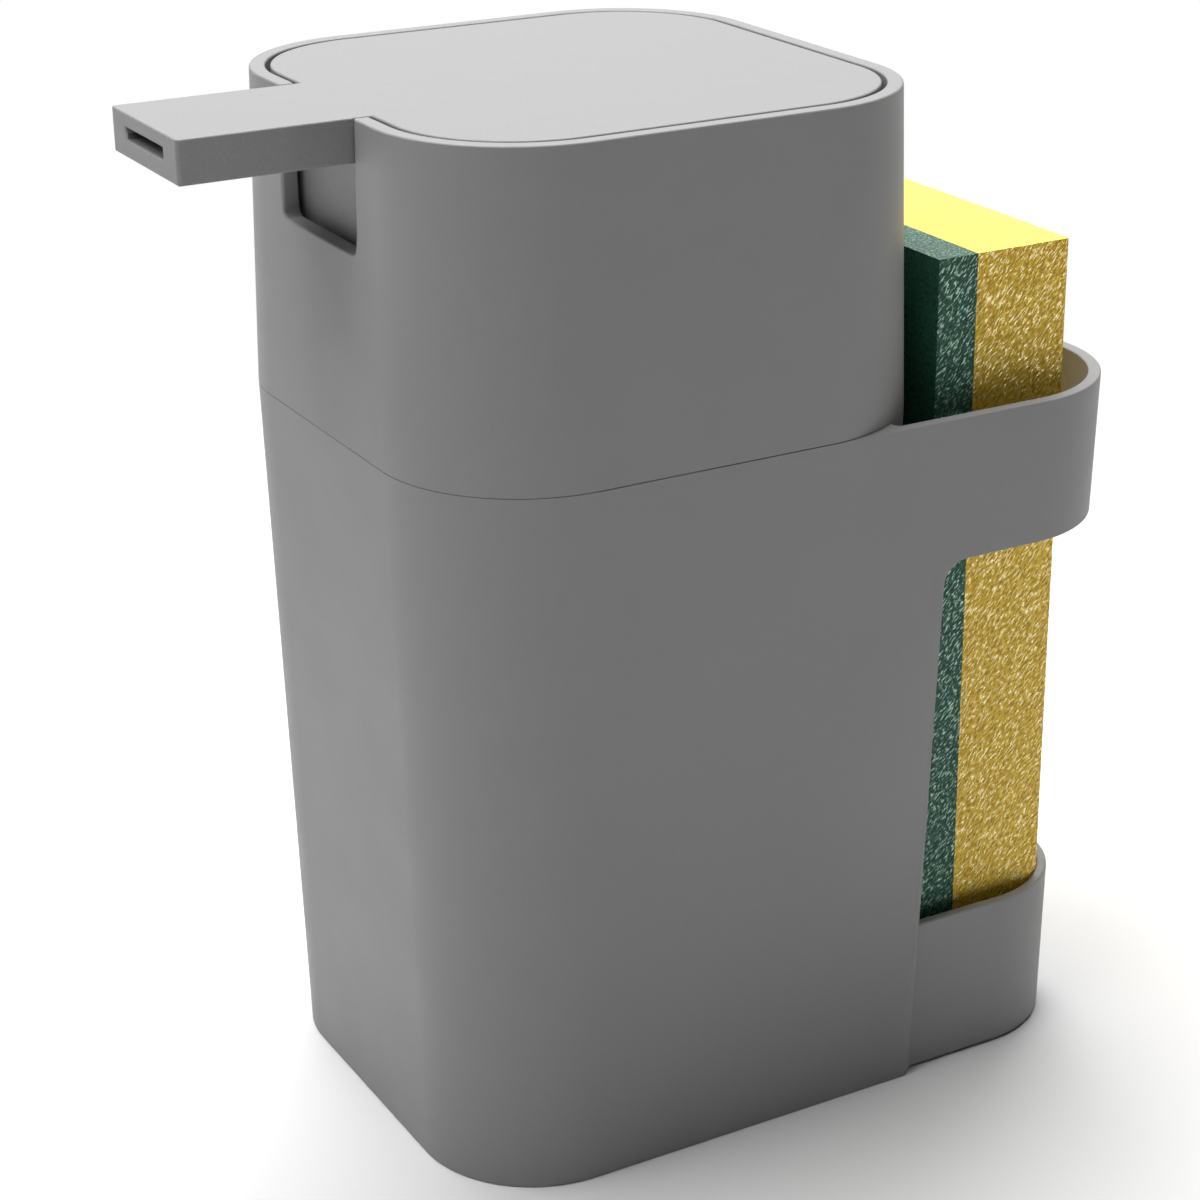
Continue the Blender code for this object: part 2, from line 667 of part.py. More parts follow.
def make_push_head(parent):
    """Plate, skirt and flat spout in one moulding, with the duct that runs to the spout's tip."""
    levels = [
        (SKIRT_BOTTOM, push_outline(0, PLATE_HALF_DEPTH)),
        (SPOUT_BOTTOM, push_outline(0, PLATE_HALF_DEPTH)),
        (SPOUT_BOTTOM, push_outline(0, SPOUT_REACH)),
    ]
    for step in range(FILLET_STEPS + 1):
        angle = pi / 2 * step / FILLET_STEPS
        inset = EDGE_FILLET * (1 - cos(angle))
        height = TOTAL_HEIGHT - EDGE_FILLET * (1 - sin(angle))
        levels.append((height, push_outline(inset, SPOUT_REACH)))
    push_head = loft("push_head", levels, parent)

    inner_width = PLATE_HALF_WIDTH - SKIRT_WALL
    inner_depth = PLATE_HALF_DEPTH - SKIRT_WALL
    inner_corner = PLATE_CORNER - SKIRT_WALL
    inner_plan = rounded_outline(inner_width, -inner_depth, inner_depth, inner_corner, inner_corner)
    hollow = loft(
        "skirt_cut", [(SKIRT_BOTTOM - OVERRUN, inner_plan), (PLATE_BOTTOM, inner_plan)], parent
    )
    buried = PLATE_BOTTOM + PLATE_THICKNESS / 2
    middle_of_skirt = SKIRT_WALL / 2
    boss = turned(
        "boss_guide",
        [(0, BOSS_BOTTOM), (BOSS_RADIUS, BOSS_BOTTOM), (BOSS_RADIUS, buried), (0, buried)],
        parent,
    )
    case_half_width = DUCT_HALF_WIDTH + DUCT_WALL
    duct_end = STEM_BORE_RADIUS
    duct_case = box(
        "duct_guide",
        (-case_half_width, -inner_depth - middle_of_skirt, DUCT_BOTTOM - DUCT_WALL),
        (case_half_width, duct_end + DUCT_WALL, buried),
        parent,
    )
    rib_bottom = PLATE_BOTTOM - PLATE_RIB_HEIGHT
    half_rib = PLATE_RIB_WIDTH / 2
    side_rib = box(
        "side_rib_guide",
        (-inner_width - middle_of_skirt, -half_rib, rib_bottom),
        (inner_width + middle_of_skirt, half_rib, buried),
        parent,
    )
    back_rib = box(
        "back_rib_guide",
        (-half_rib, 0, rib_bottom),
        (half_rib, inner_depth + middle_of_skirt, buried),
        parent,
    )
    duct = box(
        "duct_cut",
        (-DUCT_HALF_WIDTH, -SPOUT_REACH - OVERRUN, DUCT_BOTTOM),
        (DUCT_HALF_WIDTH, duct_end, DUCT_TOP),
        parent,
    )
    inlet_top = DUCT_BOTTOM + DUCT_HEIGHT / 2
    bore = turned(
        "stem_bore_cut",
        [
            (0, BOSS_BOTTOM - OVERRUN),
            (BOSS_BORE, BOSS_BOTTOM - OVERRUN),
            (BOSS_BORE, BORE_CEILING),
            (STEM_THROAT_RADIUS, BORE_CEILING),
            (STEM_THROAT_RADIUS, inlet_top),
            (0, inlet_top),
        ],
        parent,
    )
    boolean(push_head, "DIFFERENCE", hollow)
    boolean(push_head, "UNION", boss, duct_case, side_rib, back_rib)
    boolean(push_head, "DIFFERENCE", duct, bore)
    return dress(push_head, GREY, 0.5)


def make_stem(parent):
    """Hollow stem from the push head down to the piston, with the outlet ball's seat."""
    stem = turned(
        "pump_stem",
        [
            (STEM_RADIUS, STEM_TOP),
            (STEM_RADIUS, SHOULDER_TOP),
            (STEM_SHOULDER_RADIUS, SHOULDER_TOP),
            (STEM_SHOULDER_RADIUS, SHOULDER_BOTTOM),
            (STEM_RADIUS, SHOULDER_BOTTOM),
            (STEM_RADIUS, STEM_FOOT_TOP),
            (STEM_FOOT_RADIUS, STEM_FOOT_TOP),
            (STEM_FOOT_RADIUS, STEM_BOTTOM),
            (STEM_THROAT_RADIUS, STEM_BOTTOM),
            (STEM_THROAT_RADIUS, OUTLET_SEAT),
            (STEM_BORE_RADIUS, OUTLET_SEAT),
            (STEM_BORE_RADIUS, STEM_TOP),
        ],
        parent,
        SMALL_TURNED_STEPS,
    )
    return dress(stem, PALE, 0.4)


def make_piston(parent):
    """Soft piston with a lip at each end and a drawn-in waist."""
    bore = STEM_RADIUS + GAP
    waist = PISTON_RADIUS - PISTON_WAIST_DEPTH
    piston = turned(
        "piston",
        [
            (PISTON_RADIUS, PISTON_TOP),
            (PISTON_RADIUS, PISTON_TOP - PISTON_LIP),
            (waist, PISTON_TOP - PISTON_LIP - PISTON_WAIST_DEPTH),
            (waist, PISTON_BOTTOM + PISTON_LIP + PISTON_WAIST_DEPTH),
            (PISTON_RADIUS, PISTON_BOTTOM + PISTON_LIP),
            (PISTON_RADIUS, PISTON_BOTTOM),
            (bore, PISTON_BOTTOM),
            (bore, PISTON_TOP),
        ],
        parent,
    )
    return dress(piston, PALE, 0.4)


def make_cylinder(parent):
    """Pump cylinder: flange, chamber, ball well and the socket for the dip tube."""
    cone_top = CHAMBER_BOTTOM - INLET_LIP_HEIGHT
    cylinder = turned(
        "pump_cylinder",
        [
            (FLANGE_RADIUS, FLANGE_TOP),
            (FLANGE_RADIUS, FLANGE_BOTTOM),
            (CYLINDER_RADIUS, FLANGE_BOTTOM),
            (CYLINDER_RADIUS, cone_top),
            (WELL_RADIUS, cone_top - PUMP_CONE_HEIGHT),
            (WELL_RADIUS, SOCKET_TOP),
            (SOCKET_RADIUS, SOCKET_TOP - WELL_WALL),
            (SOCKET_RADIUS, SOCKET_BOTTOM),
            (SOCKET_BORE, SOCKET_BOTTOM),
            (SOCKET_BORE, SOCKET_TOP),
            (INLET_THROAT_RADIUS, SOCKET_TOP),
            (INLET_THROAT_RADIUS, INLET_SEAT),
            (WELL_BORE, INLET_SEAT),
            (WELL_BORE, WELL_TOP),
            (WELL_BORE - INLET_LIP_WIDTH, WELL_TOP),
            (WELL_BORE - INLET_LIP_WIDTH, CHAMBER_BOTTOM),
            (PUMP_BORE_RADIUS, CHAMBER_BOTTOM),
            (PUMP_BORE_RADIUS, FLANGE_TOP),
        ],
        parent,
    )
    return dress(cylinder, PALE, 0.4)


def make_stem_guide(parent):
    """Plug in the cylinder's mouth that guides the stem."""
    guide = turned(
        "stem_guide",
        [
            (NECK_RADIUS, NECK_TOP),
            (NECK_RADIUS, GUIDE_TOP),
            (FLANGE_RADIUS, GUIDE_TOP),
            (FLANGE_RADIUS, GUIDE_BOTTOM),
            (PISTON_RADIUS, GUIDE_BOTTOM),
            (PISTON_RADIUS, PLUG_BOTTOM),
            (GUIDE_BORE, PLUG_BOTTOM),
            (GUIDE_BORE, NECK_TOP),
        ],
        parent,
    )
    return dress(guide, PALE, 0.4)


def make_gasket(parent):
    """Flat washer between the deck and the cylinder's flange."""
    top = GASKET_BOTTOM + GASKET_THICKNESS
    gasket = turned(
        "pump_gasket",
        [
            (FLANGE_RADIUS, top),
            (FLANGE_RADIUS, GASKET_BOTTOM),
            (DECK_HOLE_RADIUS, GASKET_BOTTOM),
            (DECK_HOLE_RADIUS, top),
        ],
        parent,
    )
    return dress(gasket, RUBBER, 0.7)


def make_collar(parent):
    """Nut that clamps the pump on the deck, with grip notches round its side."""
    bottom = DECK_TOP + DECK_THICKNESS / 4
    hole = NECK_RADIUS + GAP
    collar = turned(
        "pump_collar",
        [
            (COLLAR_RADIUS, COLLAR_TOP),
            (COLLAR_RADIUS, bottom),
            (COLLAR_BORE, bottom),
            (COLLAR_BORE, COLLAR_CEILING),
            (hole, COLLAR_CEILING),
            (hole, COLLAR_TOP),
        ],
        parent,
    )
    half_grip = COLLAR_GRIP_WIDTH / 2
    for number in range(COLLAR_GRIPS):
        low = (COLLAR_RADIUS - COLLAR_GRIP_DEPTH, -half_grip, bottom - OVERRUN)
        high = (COLLAR_RADIUS + OVERRUN, half_grip, COLLAR_TOP + OVERRUN)
        notch = box(f"grip_cut_{number + 1}", low, high, parent)
        notch.rotation_euler.z = 2 * pi * number / COLLAR_GRIPS
        boolean(collar, "DIFFERENCE", notch)
    return dress(collar, PALE, 0.4)


def make_dip_tube(parent):
    """Tube from the socket down to the container's floor, cut aslant at its foot."""
    shape = bmesh.new()
    rings = []
    for radius, low in ((TUBE_RADIUS, False), (TUBE_RADIUS, True), (TUBE_BORE_RADIUS, True),
                        (TUBE_BORE_RADIUS, False)):
        ring = []
        for step in range(SMALL_TURNED_STEPS):
            angle = 2 * pi * step / SMALL_TURNED_STEPS
            x = radius * cos(angle)
            slant = TUBE_BEVEL_RISE * (1 + x / TUBE_RADIUS) / 2
            height = TUBE_BOTTOM + slant if low else TUBE_TOP
            ring.append(shape.verts.new((x, radius * sin(angle), height)))
        rings.append(ring)
    skin(shape, rings + rings[:1])
    return dress(finish("dip_tube", shape, parent), PALE, 0.3)


def make_spring(parent):
    """Return spring, one unbroken helix between the chamber's floor and the stem's foot."""
    curve = bpy.data.curves.new("return_spring", "CURVE")
    curve.dimensions = "3D"
    curve.bevel_depth = SPRING_WIRE_RADIUS
    curve.bevel_resolution = 1
    curve.use_fill_caps = True
    count = SPRING_TURNS * SPRING_STEPS_PER_TURN
    low = SPRING_BOTTOM + SPRING_WIRE_RADIUS
    high = SPRING_TOP - SPRING_WIRE_RADIUS
    line = curve.splines.new("POLY")
    line.points.add(count)
    for index, point in enumerate(line.points):
        angle = 2 * pi * index / SPRING_STEPS_PER_TURN
        height = low + (high - low) * index / count
        point.co = (SPRING_RADIUS * cos(angle), SPRING_RADIUS * sin(angle), height, 1)
    spring = bpy.data.objects.new("return_spring", curve)
    bpy.context.scene.collection.objects.link(spring)
    spring.parent = parent
    curve.materials.append(material("return_spring", STEEL, 0.3, 1.0))
    return spring


def make_ball(name, radius, parent):
    """Steel check ball, turned round the middle of its own object."""
    profile = arc(0, 0, radius, -90, 90, SMALL_TURNED_STEPS // 2)
    profile[0] = (0, -radius)
    profile[-1] = (0, radius)
    return dress(turned(name, profile, parent, SMALL_TURNED_STEPS), STEEL, 0.2, 1.0)


def sponge_half_width():
    """Half width of the sponge, which leaves its room beside it at the cup's foot."""
    return cup_half_width(CUP_LIFT) - CUP_WALL - SPONGE_SIDE_ROOM


def squeezed_corner(height):
    """Corner radius of the foam where it clears the cup's inner corner, from the circles' sizes."""
    cup_corner = CUP_CORNER - CUP_WALL
    across = cup_corner - (cup_half_width(height) - CUP_WALL - sponge_half_width())
    along = cup_corner - CUP_BACK_ROOM
    reach = cup_corner - GAP
    middle = across + along - reach
    rest = middle**2 - (across**2 + along**2 - reach**2)
    return max(GAP, middle - sqrt(max(rest, 0)))


def make_pad(parent):
    """Scouring pad, an upright slab with its front edges a little worn."""
    plan = rounded_outline(sponge_half_width(), PAD_FRONT, FOAM_FRONT - GAP, SPONGE_CORNER, GAP)
    pad = loft("scouring_pad", [(SPONGE_BOTTOM, plan), (SPONGE_TOP, plan)], parent)
    return dress(pad, GREEN, 0.9)


def make_foam(parent):
    """Foam slab with square edges, whose back corners the cup squeezes round at its foot."""
    levels = []
    for height, corner in (
        (SPONGE_BOTTOM, squeezed_corner(SPONGE_BOTTOM)),
        (CUP_HEIGHT, squeezed_corner(CUP_HEIGHT)),
        (CUP_HEIGHT + FOAM_SPRING_BACK, GAP),
        (SPONGE_TOP, GAP),
    ):
        plan = rounded_outline(sponge_half_width(), FOAM_FRONT, FOAM_BACK, GAP, corner)
        levels.append((height, plan))
    return dress(loft("sponge_foam", levels, parent), YELLOW, 0.9)


def build():
    """Make every body's empty, then its pieces."""
    dispenser = empty("dispenser", (0, PUMP_AXIS_Y, 0))
    head = empty("head_body", (0, 0, 0), dispenser)
    plunger = empty("plunger_body", (0, 0, 0), head)
    outlet = empty("outlet_ball_body", (0, 0, OUTLET_BALL_Z), plunger)
    inlet = empty("inlet_ball_body", (0, 0, INLET_BALL_Z), head)
    sponge = empty("sponge_body", (0, 0, 0), dispenser)

    make_container(dispenser)
    make_head_housing(head)
    make_mouth_seal(head)
    make_cylinder(head)
    make_stem_guide(head)
    make_gasket(head)
    make_collar(head)
    make_dip_tube(head)
    make_spring(head)
    make_push_head(plunger)
    make_stem(plunger)
    make_piston(plunger)
    make_ball("outlet_ball", OUTLET_BALL_RADIUS, outlet)
    make_ball("inlet_ball", INLET_BALL_RADIUS, inlet)
    make_pad(sponge)
    make_foam(sponge)


build()
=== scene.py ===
# %% [markdown]
# A soap dispenser for the kitchen sink, with a press pump in its head and a holder for a
# sponge moulded on its back. This lesson dresses the plain model of it: each big moulding is
# made again with finer curves and eased edges, the sponge gets a real surface, and every piece
# gets a material made of nodes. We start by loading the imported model, which never moves, and we
# keep its outer box so that we can prove at the end that nothing has grown.

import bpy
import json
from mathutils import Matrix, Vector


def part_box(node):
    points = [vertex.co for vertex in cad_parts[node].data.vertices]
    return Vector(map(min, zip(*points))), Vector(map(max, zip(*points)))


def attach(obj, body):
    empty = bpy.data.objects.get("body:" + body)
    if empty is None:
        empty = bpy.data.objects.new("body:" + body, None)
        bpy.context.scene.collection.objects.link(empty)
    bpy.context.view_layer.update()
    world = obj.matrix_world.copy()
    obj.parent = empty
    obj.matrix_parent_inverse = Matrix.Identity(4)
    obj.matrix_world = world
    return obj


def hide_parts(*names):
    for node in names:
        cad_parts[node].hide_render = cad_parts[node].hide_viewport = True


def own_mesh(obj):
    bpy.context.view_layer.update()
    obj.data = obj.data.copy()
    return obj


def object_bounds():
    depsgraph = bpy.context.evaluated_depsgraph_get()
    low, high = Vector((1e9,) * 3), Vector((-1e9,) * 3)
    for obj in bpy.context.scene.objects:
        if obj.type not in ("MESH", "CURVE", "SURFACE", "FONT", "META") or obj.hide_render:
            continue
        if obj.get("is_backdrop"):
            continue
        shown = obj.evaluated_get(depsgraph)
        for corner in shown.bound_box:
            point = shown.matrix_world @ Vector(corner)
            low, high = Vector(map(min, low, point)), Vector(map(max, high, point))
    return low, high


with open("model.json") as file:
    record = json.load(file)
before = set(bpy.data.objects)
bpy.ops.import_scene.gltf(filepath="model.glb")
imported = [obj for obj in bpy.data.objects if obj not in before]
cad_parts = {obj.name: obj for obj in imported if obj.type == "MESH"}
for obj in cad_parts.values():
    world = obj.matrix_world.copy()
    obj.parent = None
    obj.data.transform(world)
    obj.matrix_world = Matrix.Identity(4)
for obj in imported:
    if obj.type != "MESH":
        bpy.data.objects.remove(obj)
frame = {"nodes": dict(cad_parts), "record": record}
model_low, model_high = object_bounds()
print("model box in mm", [round(1000 * (b - a), 1) for a, b in zip(model_low, model_high)])

# %% Tools of the trade
import json
from math import cos, pi, radians, sin, sqrt

import bmesh
import bpy
from mathutils import Matrix, Vector, noise

# %% [markdown]
# The camera comes first, because it decides how much detail each place needs. The photograph
# was taken from the front right and a little above, with a long lens, so the upright edges stay
# almost parallel. A camera can be placed by its position and by the three directions that it
# calls right, up and back, and that is the surest way to repeat a view that was worked out
# from the picture's own edges.

# %% Camera
CAMERA_PLACE = Vector((0.379317, -0.210805, 0.259580))
CAMERA_RIGHT = Vector((0.49961, 0.86623, -0.00536))
CAMERA_UP = Vector((-0.32444, 0.19286, 0.92604))
CAMERA_BACK = Vector((0.80320, -0.46092, 0.37739))

lens = bpy.data.cameras.new("photo_lens")
lens.lens = 84.42
lens.sensor_width = 36
lens.shift_x = -0.0405
lens.shift_y = -0.0110
lens.clip_start = 0.01
lens.clip_end = 10
camera = bpy.data.objects.new("camera", lens)
bpy.context.scene.collection.objects.link(camera)
turn = Matrix((CAMERA_RIGHT, CAMERA_UP, CAMERA_BACK)).transposed()
camera.matrix_world = Matrix.Translation(CAMERA_PLACE) @ turn.to_4x4()
bpy.context.scene.camera = camera
bpy.context.scene.view_settings.view_transform = "Standard"
print("camera stands", round(CAMERA_PLACE.length, 3), "m from the origin")

# %% [markdown]
# Materials and the light of the room are both small sets of nodes. Writing them by hand takes
# many lines, so we make four helpers: one wires values into a node, one adds a node with its
# settings and wires in one step, one makes one value out of two, such as their product or the
# larger of them, and one blends two shaders.

# %% Node helpers


def wire(tree, target, **sockets):
    """Wire sockets into a node's inputs, each given by the input's name."""
    for key, socket in sockets.items():
        tree.links.new(socket, target.inputs[key.replace("_", " ")])


def node(tree, kind, settings=None, **wires):
    """Add a node, set its values, and wire other sockets into its inputs."""
    made = tree.nodes.new("ShaderNode" + kind)
    for key, value in (settings or {}).items():
        if key in made.inputs:
            made.inputs[key].default_value = value
        else:
            setattr(made, key, value)
    wire(tree, made, **wires)
    return made


def combine(tree, operation, first, second):
    """One value from 0 to 1 out of two, each a socket or a number."""
    made = node(tree, "Math", {"operation": operation, "use_clamp": True})
    for value, entry in zip((first, second), made.inputs):
        if isinstance(value, float):
            entry.default_value = value
        else:
            tree.links.new(value, entry)
    return made.outputs[0]


def mix_shaders(tree, factor, first, second):
    """The first shader where the factor is 0, and the second where it is 1."""
    made = node(tree, "MixShader")
    for value, entry in zip((factor, first.outputs[0], second.outputs[0]), made.inputs):
        tree.links.new(value, entry)
    return made.outputs[0]


# %% [markdown]
# A product picture like this one is lit from above by very large soft lights, and a pale floor
# throws some of that light back up. The main lamp hangs over the far left and makes the top
# plate the brightest face, a second one nearer the front lights the spout's side, and a small
# low one at the right rear makes the bumps of the sponge glint. The world adds almost no light,
# and is pure white where the camera or a mirror-like surface looks past the object.

# %% Studio light
LAMP_AIM = Vector((0, 0, 0.08))


def lamp(name, spot, size, power):
    """A square lamp at a spot, turned to face the object, with its power in watts."""
    light = bpy.data.lights.new(name, "AREA")
    light.shape = "SQUARE"
    light.size = size
    light.energy = power
    made = bpy.data.objects.new(name, light)
    bpy.context.scene.collection.objects.link(made)
    made.location = spot
    made.rotation_euler = (LAMP_AIM - Vector(spot)).to_track_quat("-Z", "Y").to_euler()


lamp("overhead_lamp", (-0.45, 0.25, 1.20), size=1.0, power=17.4)
lamp("front_lamp", (-0.14, -0.42, 1.20), size=1.1, power=13.0)
lamp("low_right_lamp", (1.05, 0.60, 0.07), size=0.12, power=0.3)

# %% The world around it
WORLD_LIGHT = 0.02
world = bpy.data.worlds.new("pale_room")
bpy.context.scene.world = world
world.use_nodes = True
room = world.node_tree
room.nodes.clear()
rays = node(room, "LightPath").outputs
seen_or_mirrored = combine(room, "MAXIMUM", rays["Is Camera Ray"], rays["Is Glossy Ray"])
any_view = combine(room, "MAXIMUM", seen_or_mirrored, rays["Is Transmission Ray"])
soft_fill = node(room, "Background", {"Strength": WORLD_LIGHT})
backdrop = node(room, "Background", {"Color": (1, 1, 1, 1)})
node(room, "OutputWorld", Surface=mix_shaders(room, any_view, soft_fill, backdrop))
print("world lights the object at a strength of", WORLD_LIGHT)

# %% [markdown]
# A material starts from its main shader, and most of its looks come from noise that is
# stretched to the values wanted, mixed into a colour, or used as relief. Each of these steps
# gets a helper. All patterns use object coordinates, which are metres here, so a noise scale
# of 1000 makes marks one millimetre apart.

# %% Material helpers
# The mix node keeps its colour sockets at these places
MIX_FIRST = 6
MIX_SECOND = 7
MIX_RESULT = 2


def new_material(name):
    """A material with its node tree and its Principled shader."""
    made = bpy.data.materials.new(name)
    made.use_nodes = True
    tree = made.node_tree
    return made, tree, tree.nodes["Principled BSDF"]


def place(tree):
    """Object coordinates in metres, which move with the piece."""
    return node(tree, "TexCoord").outputs["Object"]


def speckle(tree, where, scale, detail=2.0):
    """Even noise with marks about 1 / scale metres across."""
    made = node(tree, "TexNoise", {"Scale": scale, "Detail": detail}, Vector=where)
    return made.outputs["Fac"]


def spread(tree, value, low, high, start=0.35, end=0.65):
    """Stretch a value, which runs from start to end, between two numbers."""
    limits = {"From Min": start, "From Max": end, "To Min": low, "To Max": high}
    return node(tree, "MapRange", limits, Value=value).outputs["Result"]


def blend_colours(tree, factor, first, second):
    """Mix a colour, or the colour that another node gives, with a second one by a factor."""
    made = node(tree, "Mix", {"data_type": "RGBA"}, Factor=factor)
    if isinstance(first, bpy.types.NodeSocket):
        tree.links.new(first, made.inputs[MIX_FIRST])
    else:
        made.inputs[MIX_FIRST].default_value = (*first, 1)
    made.inputs[MIX_SECOND].default_value = (*second, 1)
    return made.outputs[MIX_RESULT]


def bump(tree, shader, height, depth, strength=1.0):
    """Relief of a depth in metres."""
    made = node(tree, "Bump", {"Strength": strength, "Distance": depth}, Height=height)
    wire(tree, shader, Normal=made.outputs["Normal"])


# %% [markdown]
# The dispenser's mouldings are mid grey polypropylene from a mould that was spark eroded to a
# fine matte grain. A flat colour would look like painted wood, because real moulded plastic
# breaks a highlight up into tiny sparkles. Two layers of noise do it: a fine grain that bumps
# the surface and tints it by a percent or two, and a broad cloud that shifts its gloss.

# %% Matte grey plastic
PLASTIC_GREY = 0.272
GRAIN_SCALE = 2600
CLOUD_SCALE = 90
DULLEST = 0.54
GLOSSIEST = 0.48


def grey_plastic(name, grain_depth, grain_tint):
    """Moulded grey plastic with a fine spark-eroded grain."""
    made, tree, shader = new_material(name)
    where = place(tree)
    grain = speckle(tree, where, GRAIN_SCALE, detail=3.0)
    darker = PLASTIC_GREY * (1 - grain_tint)
    lighter = PLASTIC_GREY * (1 + grain_tint)
    tint = blend_colours(tree, spread(tree, grain, 0, 1), [darker] * 3, [lighter] * 3)
    dullness = spread(tree, speckle(tree, where, CLOUD_SCALE), GLOSSIEST, DULLEST)
    wire(tree, shader, Base_Color=tint, Roughness=dullness)
    bump(tree, shader, grain, grain_depth, strength=0.6)
    return made


wall_plastic = grey_plastic("matte_grey_wall", grain_depth=0.000012, grain_tint=0.015)
plate_plastic = grey_plastic("matte_grey_plate", grain_depth=0.000035, grain_tint=0.050)
print("grey plastic grain in mm", round(1000 / GRAIN_SCALE, 2))

# %% [markdown]
# All three mouldings share one plan shape, a rounded square, so we make that first. The plan is
# a loop of points: four arcs joined by straight runs. Thirty two steps in each corner keep the
# outline smooth even in a close view. A loft then skins a stack of plans into a closed solid,
# which also gives a wall its draft: the slight taper that lets a moulding leave its mould.

# %% Plans
CORNER_STEPS = 32


def arc(centre_x, centre_y, radius, start, end, steps):
    """Points on an arc, with its angles in degrees."""
    points = []
    for step in range(steps + 1):
        angle = radians(start + (end - start) * step / steps)
        points.append((centre_x + radius * cos(angle), centre_y + radius * sin(angle)))
    return points


def rounded_plan(half_width, front, back, front_corner, back_corner, steps=CORNER_STEPS):
    """Rounded rectangle seen from above, counter-clockwise from the right front."""
    right_front = half_width - front_corner
    right_back = half_width - back_corner
    return (
        arc(right_front, front + front_corner, front_corner, -90, 0, steps)
        + arc(right_back, back - back_corner, back_corner, 0, 90, steps)
        + arc(-right_back, back - back_corner, back_corner, 90, 180, steps)
        + arc(-right_front, front + front_corner, front_corner, 180, 270, steps)
    )


print("points in a plan:", len(rounded_plan(1, -1, 1, 0.5, 0.5)))

# %% Solids from stacked plans
TINY = 0.000002


def new_object(name, shape):
    """Turn a bmesh into an object whose faces point outwards."""
    bmesh.ops.recalc_face_normals(shape, faces=shape.faces)
    mesh = bpy.data.meshes.new(name)
    shape.to_mesh(mesh)
    shape.free()
    made = bpy.data.objects.new(name, mesh)
    bpy.context.scene.collection.objects.link(made)
    return made


def skin(shape, rings):
    """Faces between rings that have the same number of points, and one over each end."""
    for lower, upper in zip(rings, rings[1:]):
        for index in range(len(lower)):
            after = (index + 1) % len(lower)
            shape.faces.new((lower[index], lower[after], upper[after], upper[index]))
    shape.faces.new(rings[0])
    shape.faces.new(rings[-1])


def loft(name, levels):
    """A closed solid through plans, each given with its height."""
    shape = bmesh.new()
    rings = []
    for height, plan in levels:
        rings.append([shape.verts.new((x, y, height)) for x, y in plan])
    skin(shape, rings)
    bmesh.ops.remove_doubles(shape, verts=shape.verts, dist=TINY)
    return new_object(name, shape)


# %% Solids from a profile


def prism(name, profile, low, high, axis):
    """A profile pushed along X or Y. The profile lies in the other axis and Z."""
    shape = bmesh.new()
    rings = []
    for reach in (low, high):
        if axis == "X":
            rings.append([shape.verts.new((reach, across, up)) for across, up in profile])
        else:
            rings.append([shape.verts.new((across, reach, up)) for across, up in profile])
    skin(shape, rings)
    return new_object(name, shape)


def block(name, low, high):
    """A cutting or joining block between two corners."""
    profile = ((low[1], low[2]), (high[1], low[2]), (high[1], high[2]), (low[1], high[2]))
    return prism(name, profile, low[0], high[0], "X")


def turned(name, profile, steps=96):
    """A profile of radii and heights turned round the pump's axis."""
    shape = bmesh.new()
    rings = []
    for radius, height in profile:
        if radius == 0:
            rings.append([shape.verts.new((0, 0, height))] * steps)
            continue
        ring = []
        for step in range(steps):
            angle = 2 * pi * step / steps
            ring.append(shape.verts.new((radius * cos(angle), radius * sin(angle), height)))
        rings.append(ring)
    for lower, upper in zip(rings, rings[1:] + rings[:1]):
        for index in range(steps):
            after = (index + 1) % steps
            corners = []
            for corner in (lower[index], lower[after], upper[after], upper[index]):
                if corner not in corners:
                    corners.append(corner)
            if len(corners) > 2:
                shape.faces.new(corners)
    return new_object(name, shape)


# %% [markdown]
# Cutting one solid out of another is a boolean. It leaves knife-sharp edges, and no moulding
# has those: every edge of a real one is eased by a fraction of a millimetre, and that thin
# rounded strip is what catches the light. So after the cuts we merge faces that lie in one
# plane, bevel the edges that turn sharply, and let the large faces rule the shading, so that
# flat stays flat right up to the eased edge.

# %% Carving
MERGE_DISTANCE = 0.00004
MERGE_TURN = radians(0.3)


def bake(target):
    """Make what the modifiers give into the object's own mesh."""
    bpy.context.view_layer.update()
    graph = bpy.context.evaluated_depsgraph_get()
    solid = bpy.data.meshes.new_from_object(target.evaluated_get(graph))
    target.modifiers.clear()
    target.data = solid


def carve(target, *steps):
    """Join tools to the target, or cut them out of it, in the order given."""
    for operation, tool in steps:
        step = target.modifiers.new(tool.name, "BOOLEAN")
        step.operation = operation
        step.solver = "EXACT"
        step.object = tool
    bake(target)
    for _, tool in steps:
        bpy.data.objects.remove(tool, do_unlink=True)
    return target


def tidy_faces(target):
    """Merge points that almost touch and faces that lie in one plane."""
    shape = bmesh.new()
    shape.from_mesh(target.data)
    bmesh.ops.remove_doubles(shape, verts=shape.verts, dist=MERGE_DISTANCE)
    bmesh.ops.dissolve_degenerate(shape, edges=shape.edges, dist=MERGE_DISTANCE)
    bmesh.ops.dissolve_limit(
        shape, angle_limit=MERGE_TURN, verts=shape.verts, edges=shape.edges
    )
    shape.to_mesh(target.data)
    shape.free()


# %% Easing and shading
SHARP_TURN = radians(34)
WIDEST_EASE = 0.0010
LARGE_FACE_WEIGHT = 60


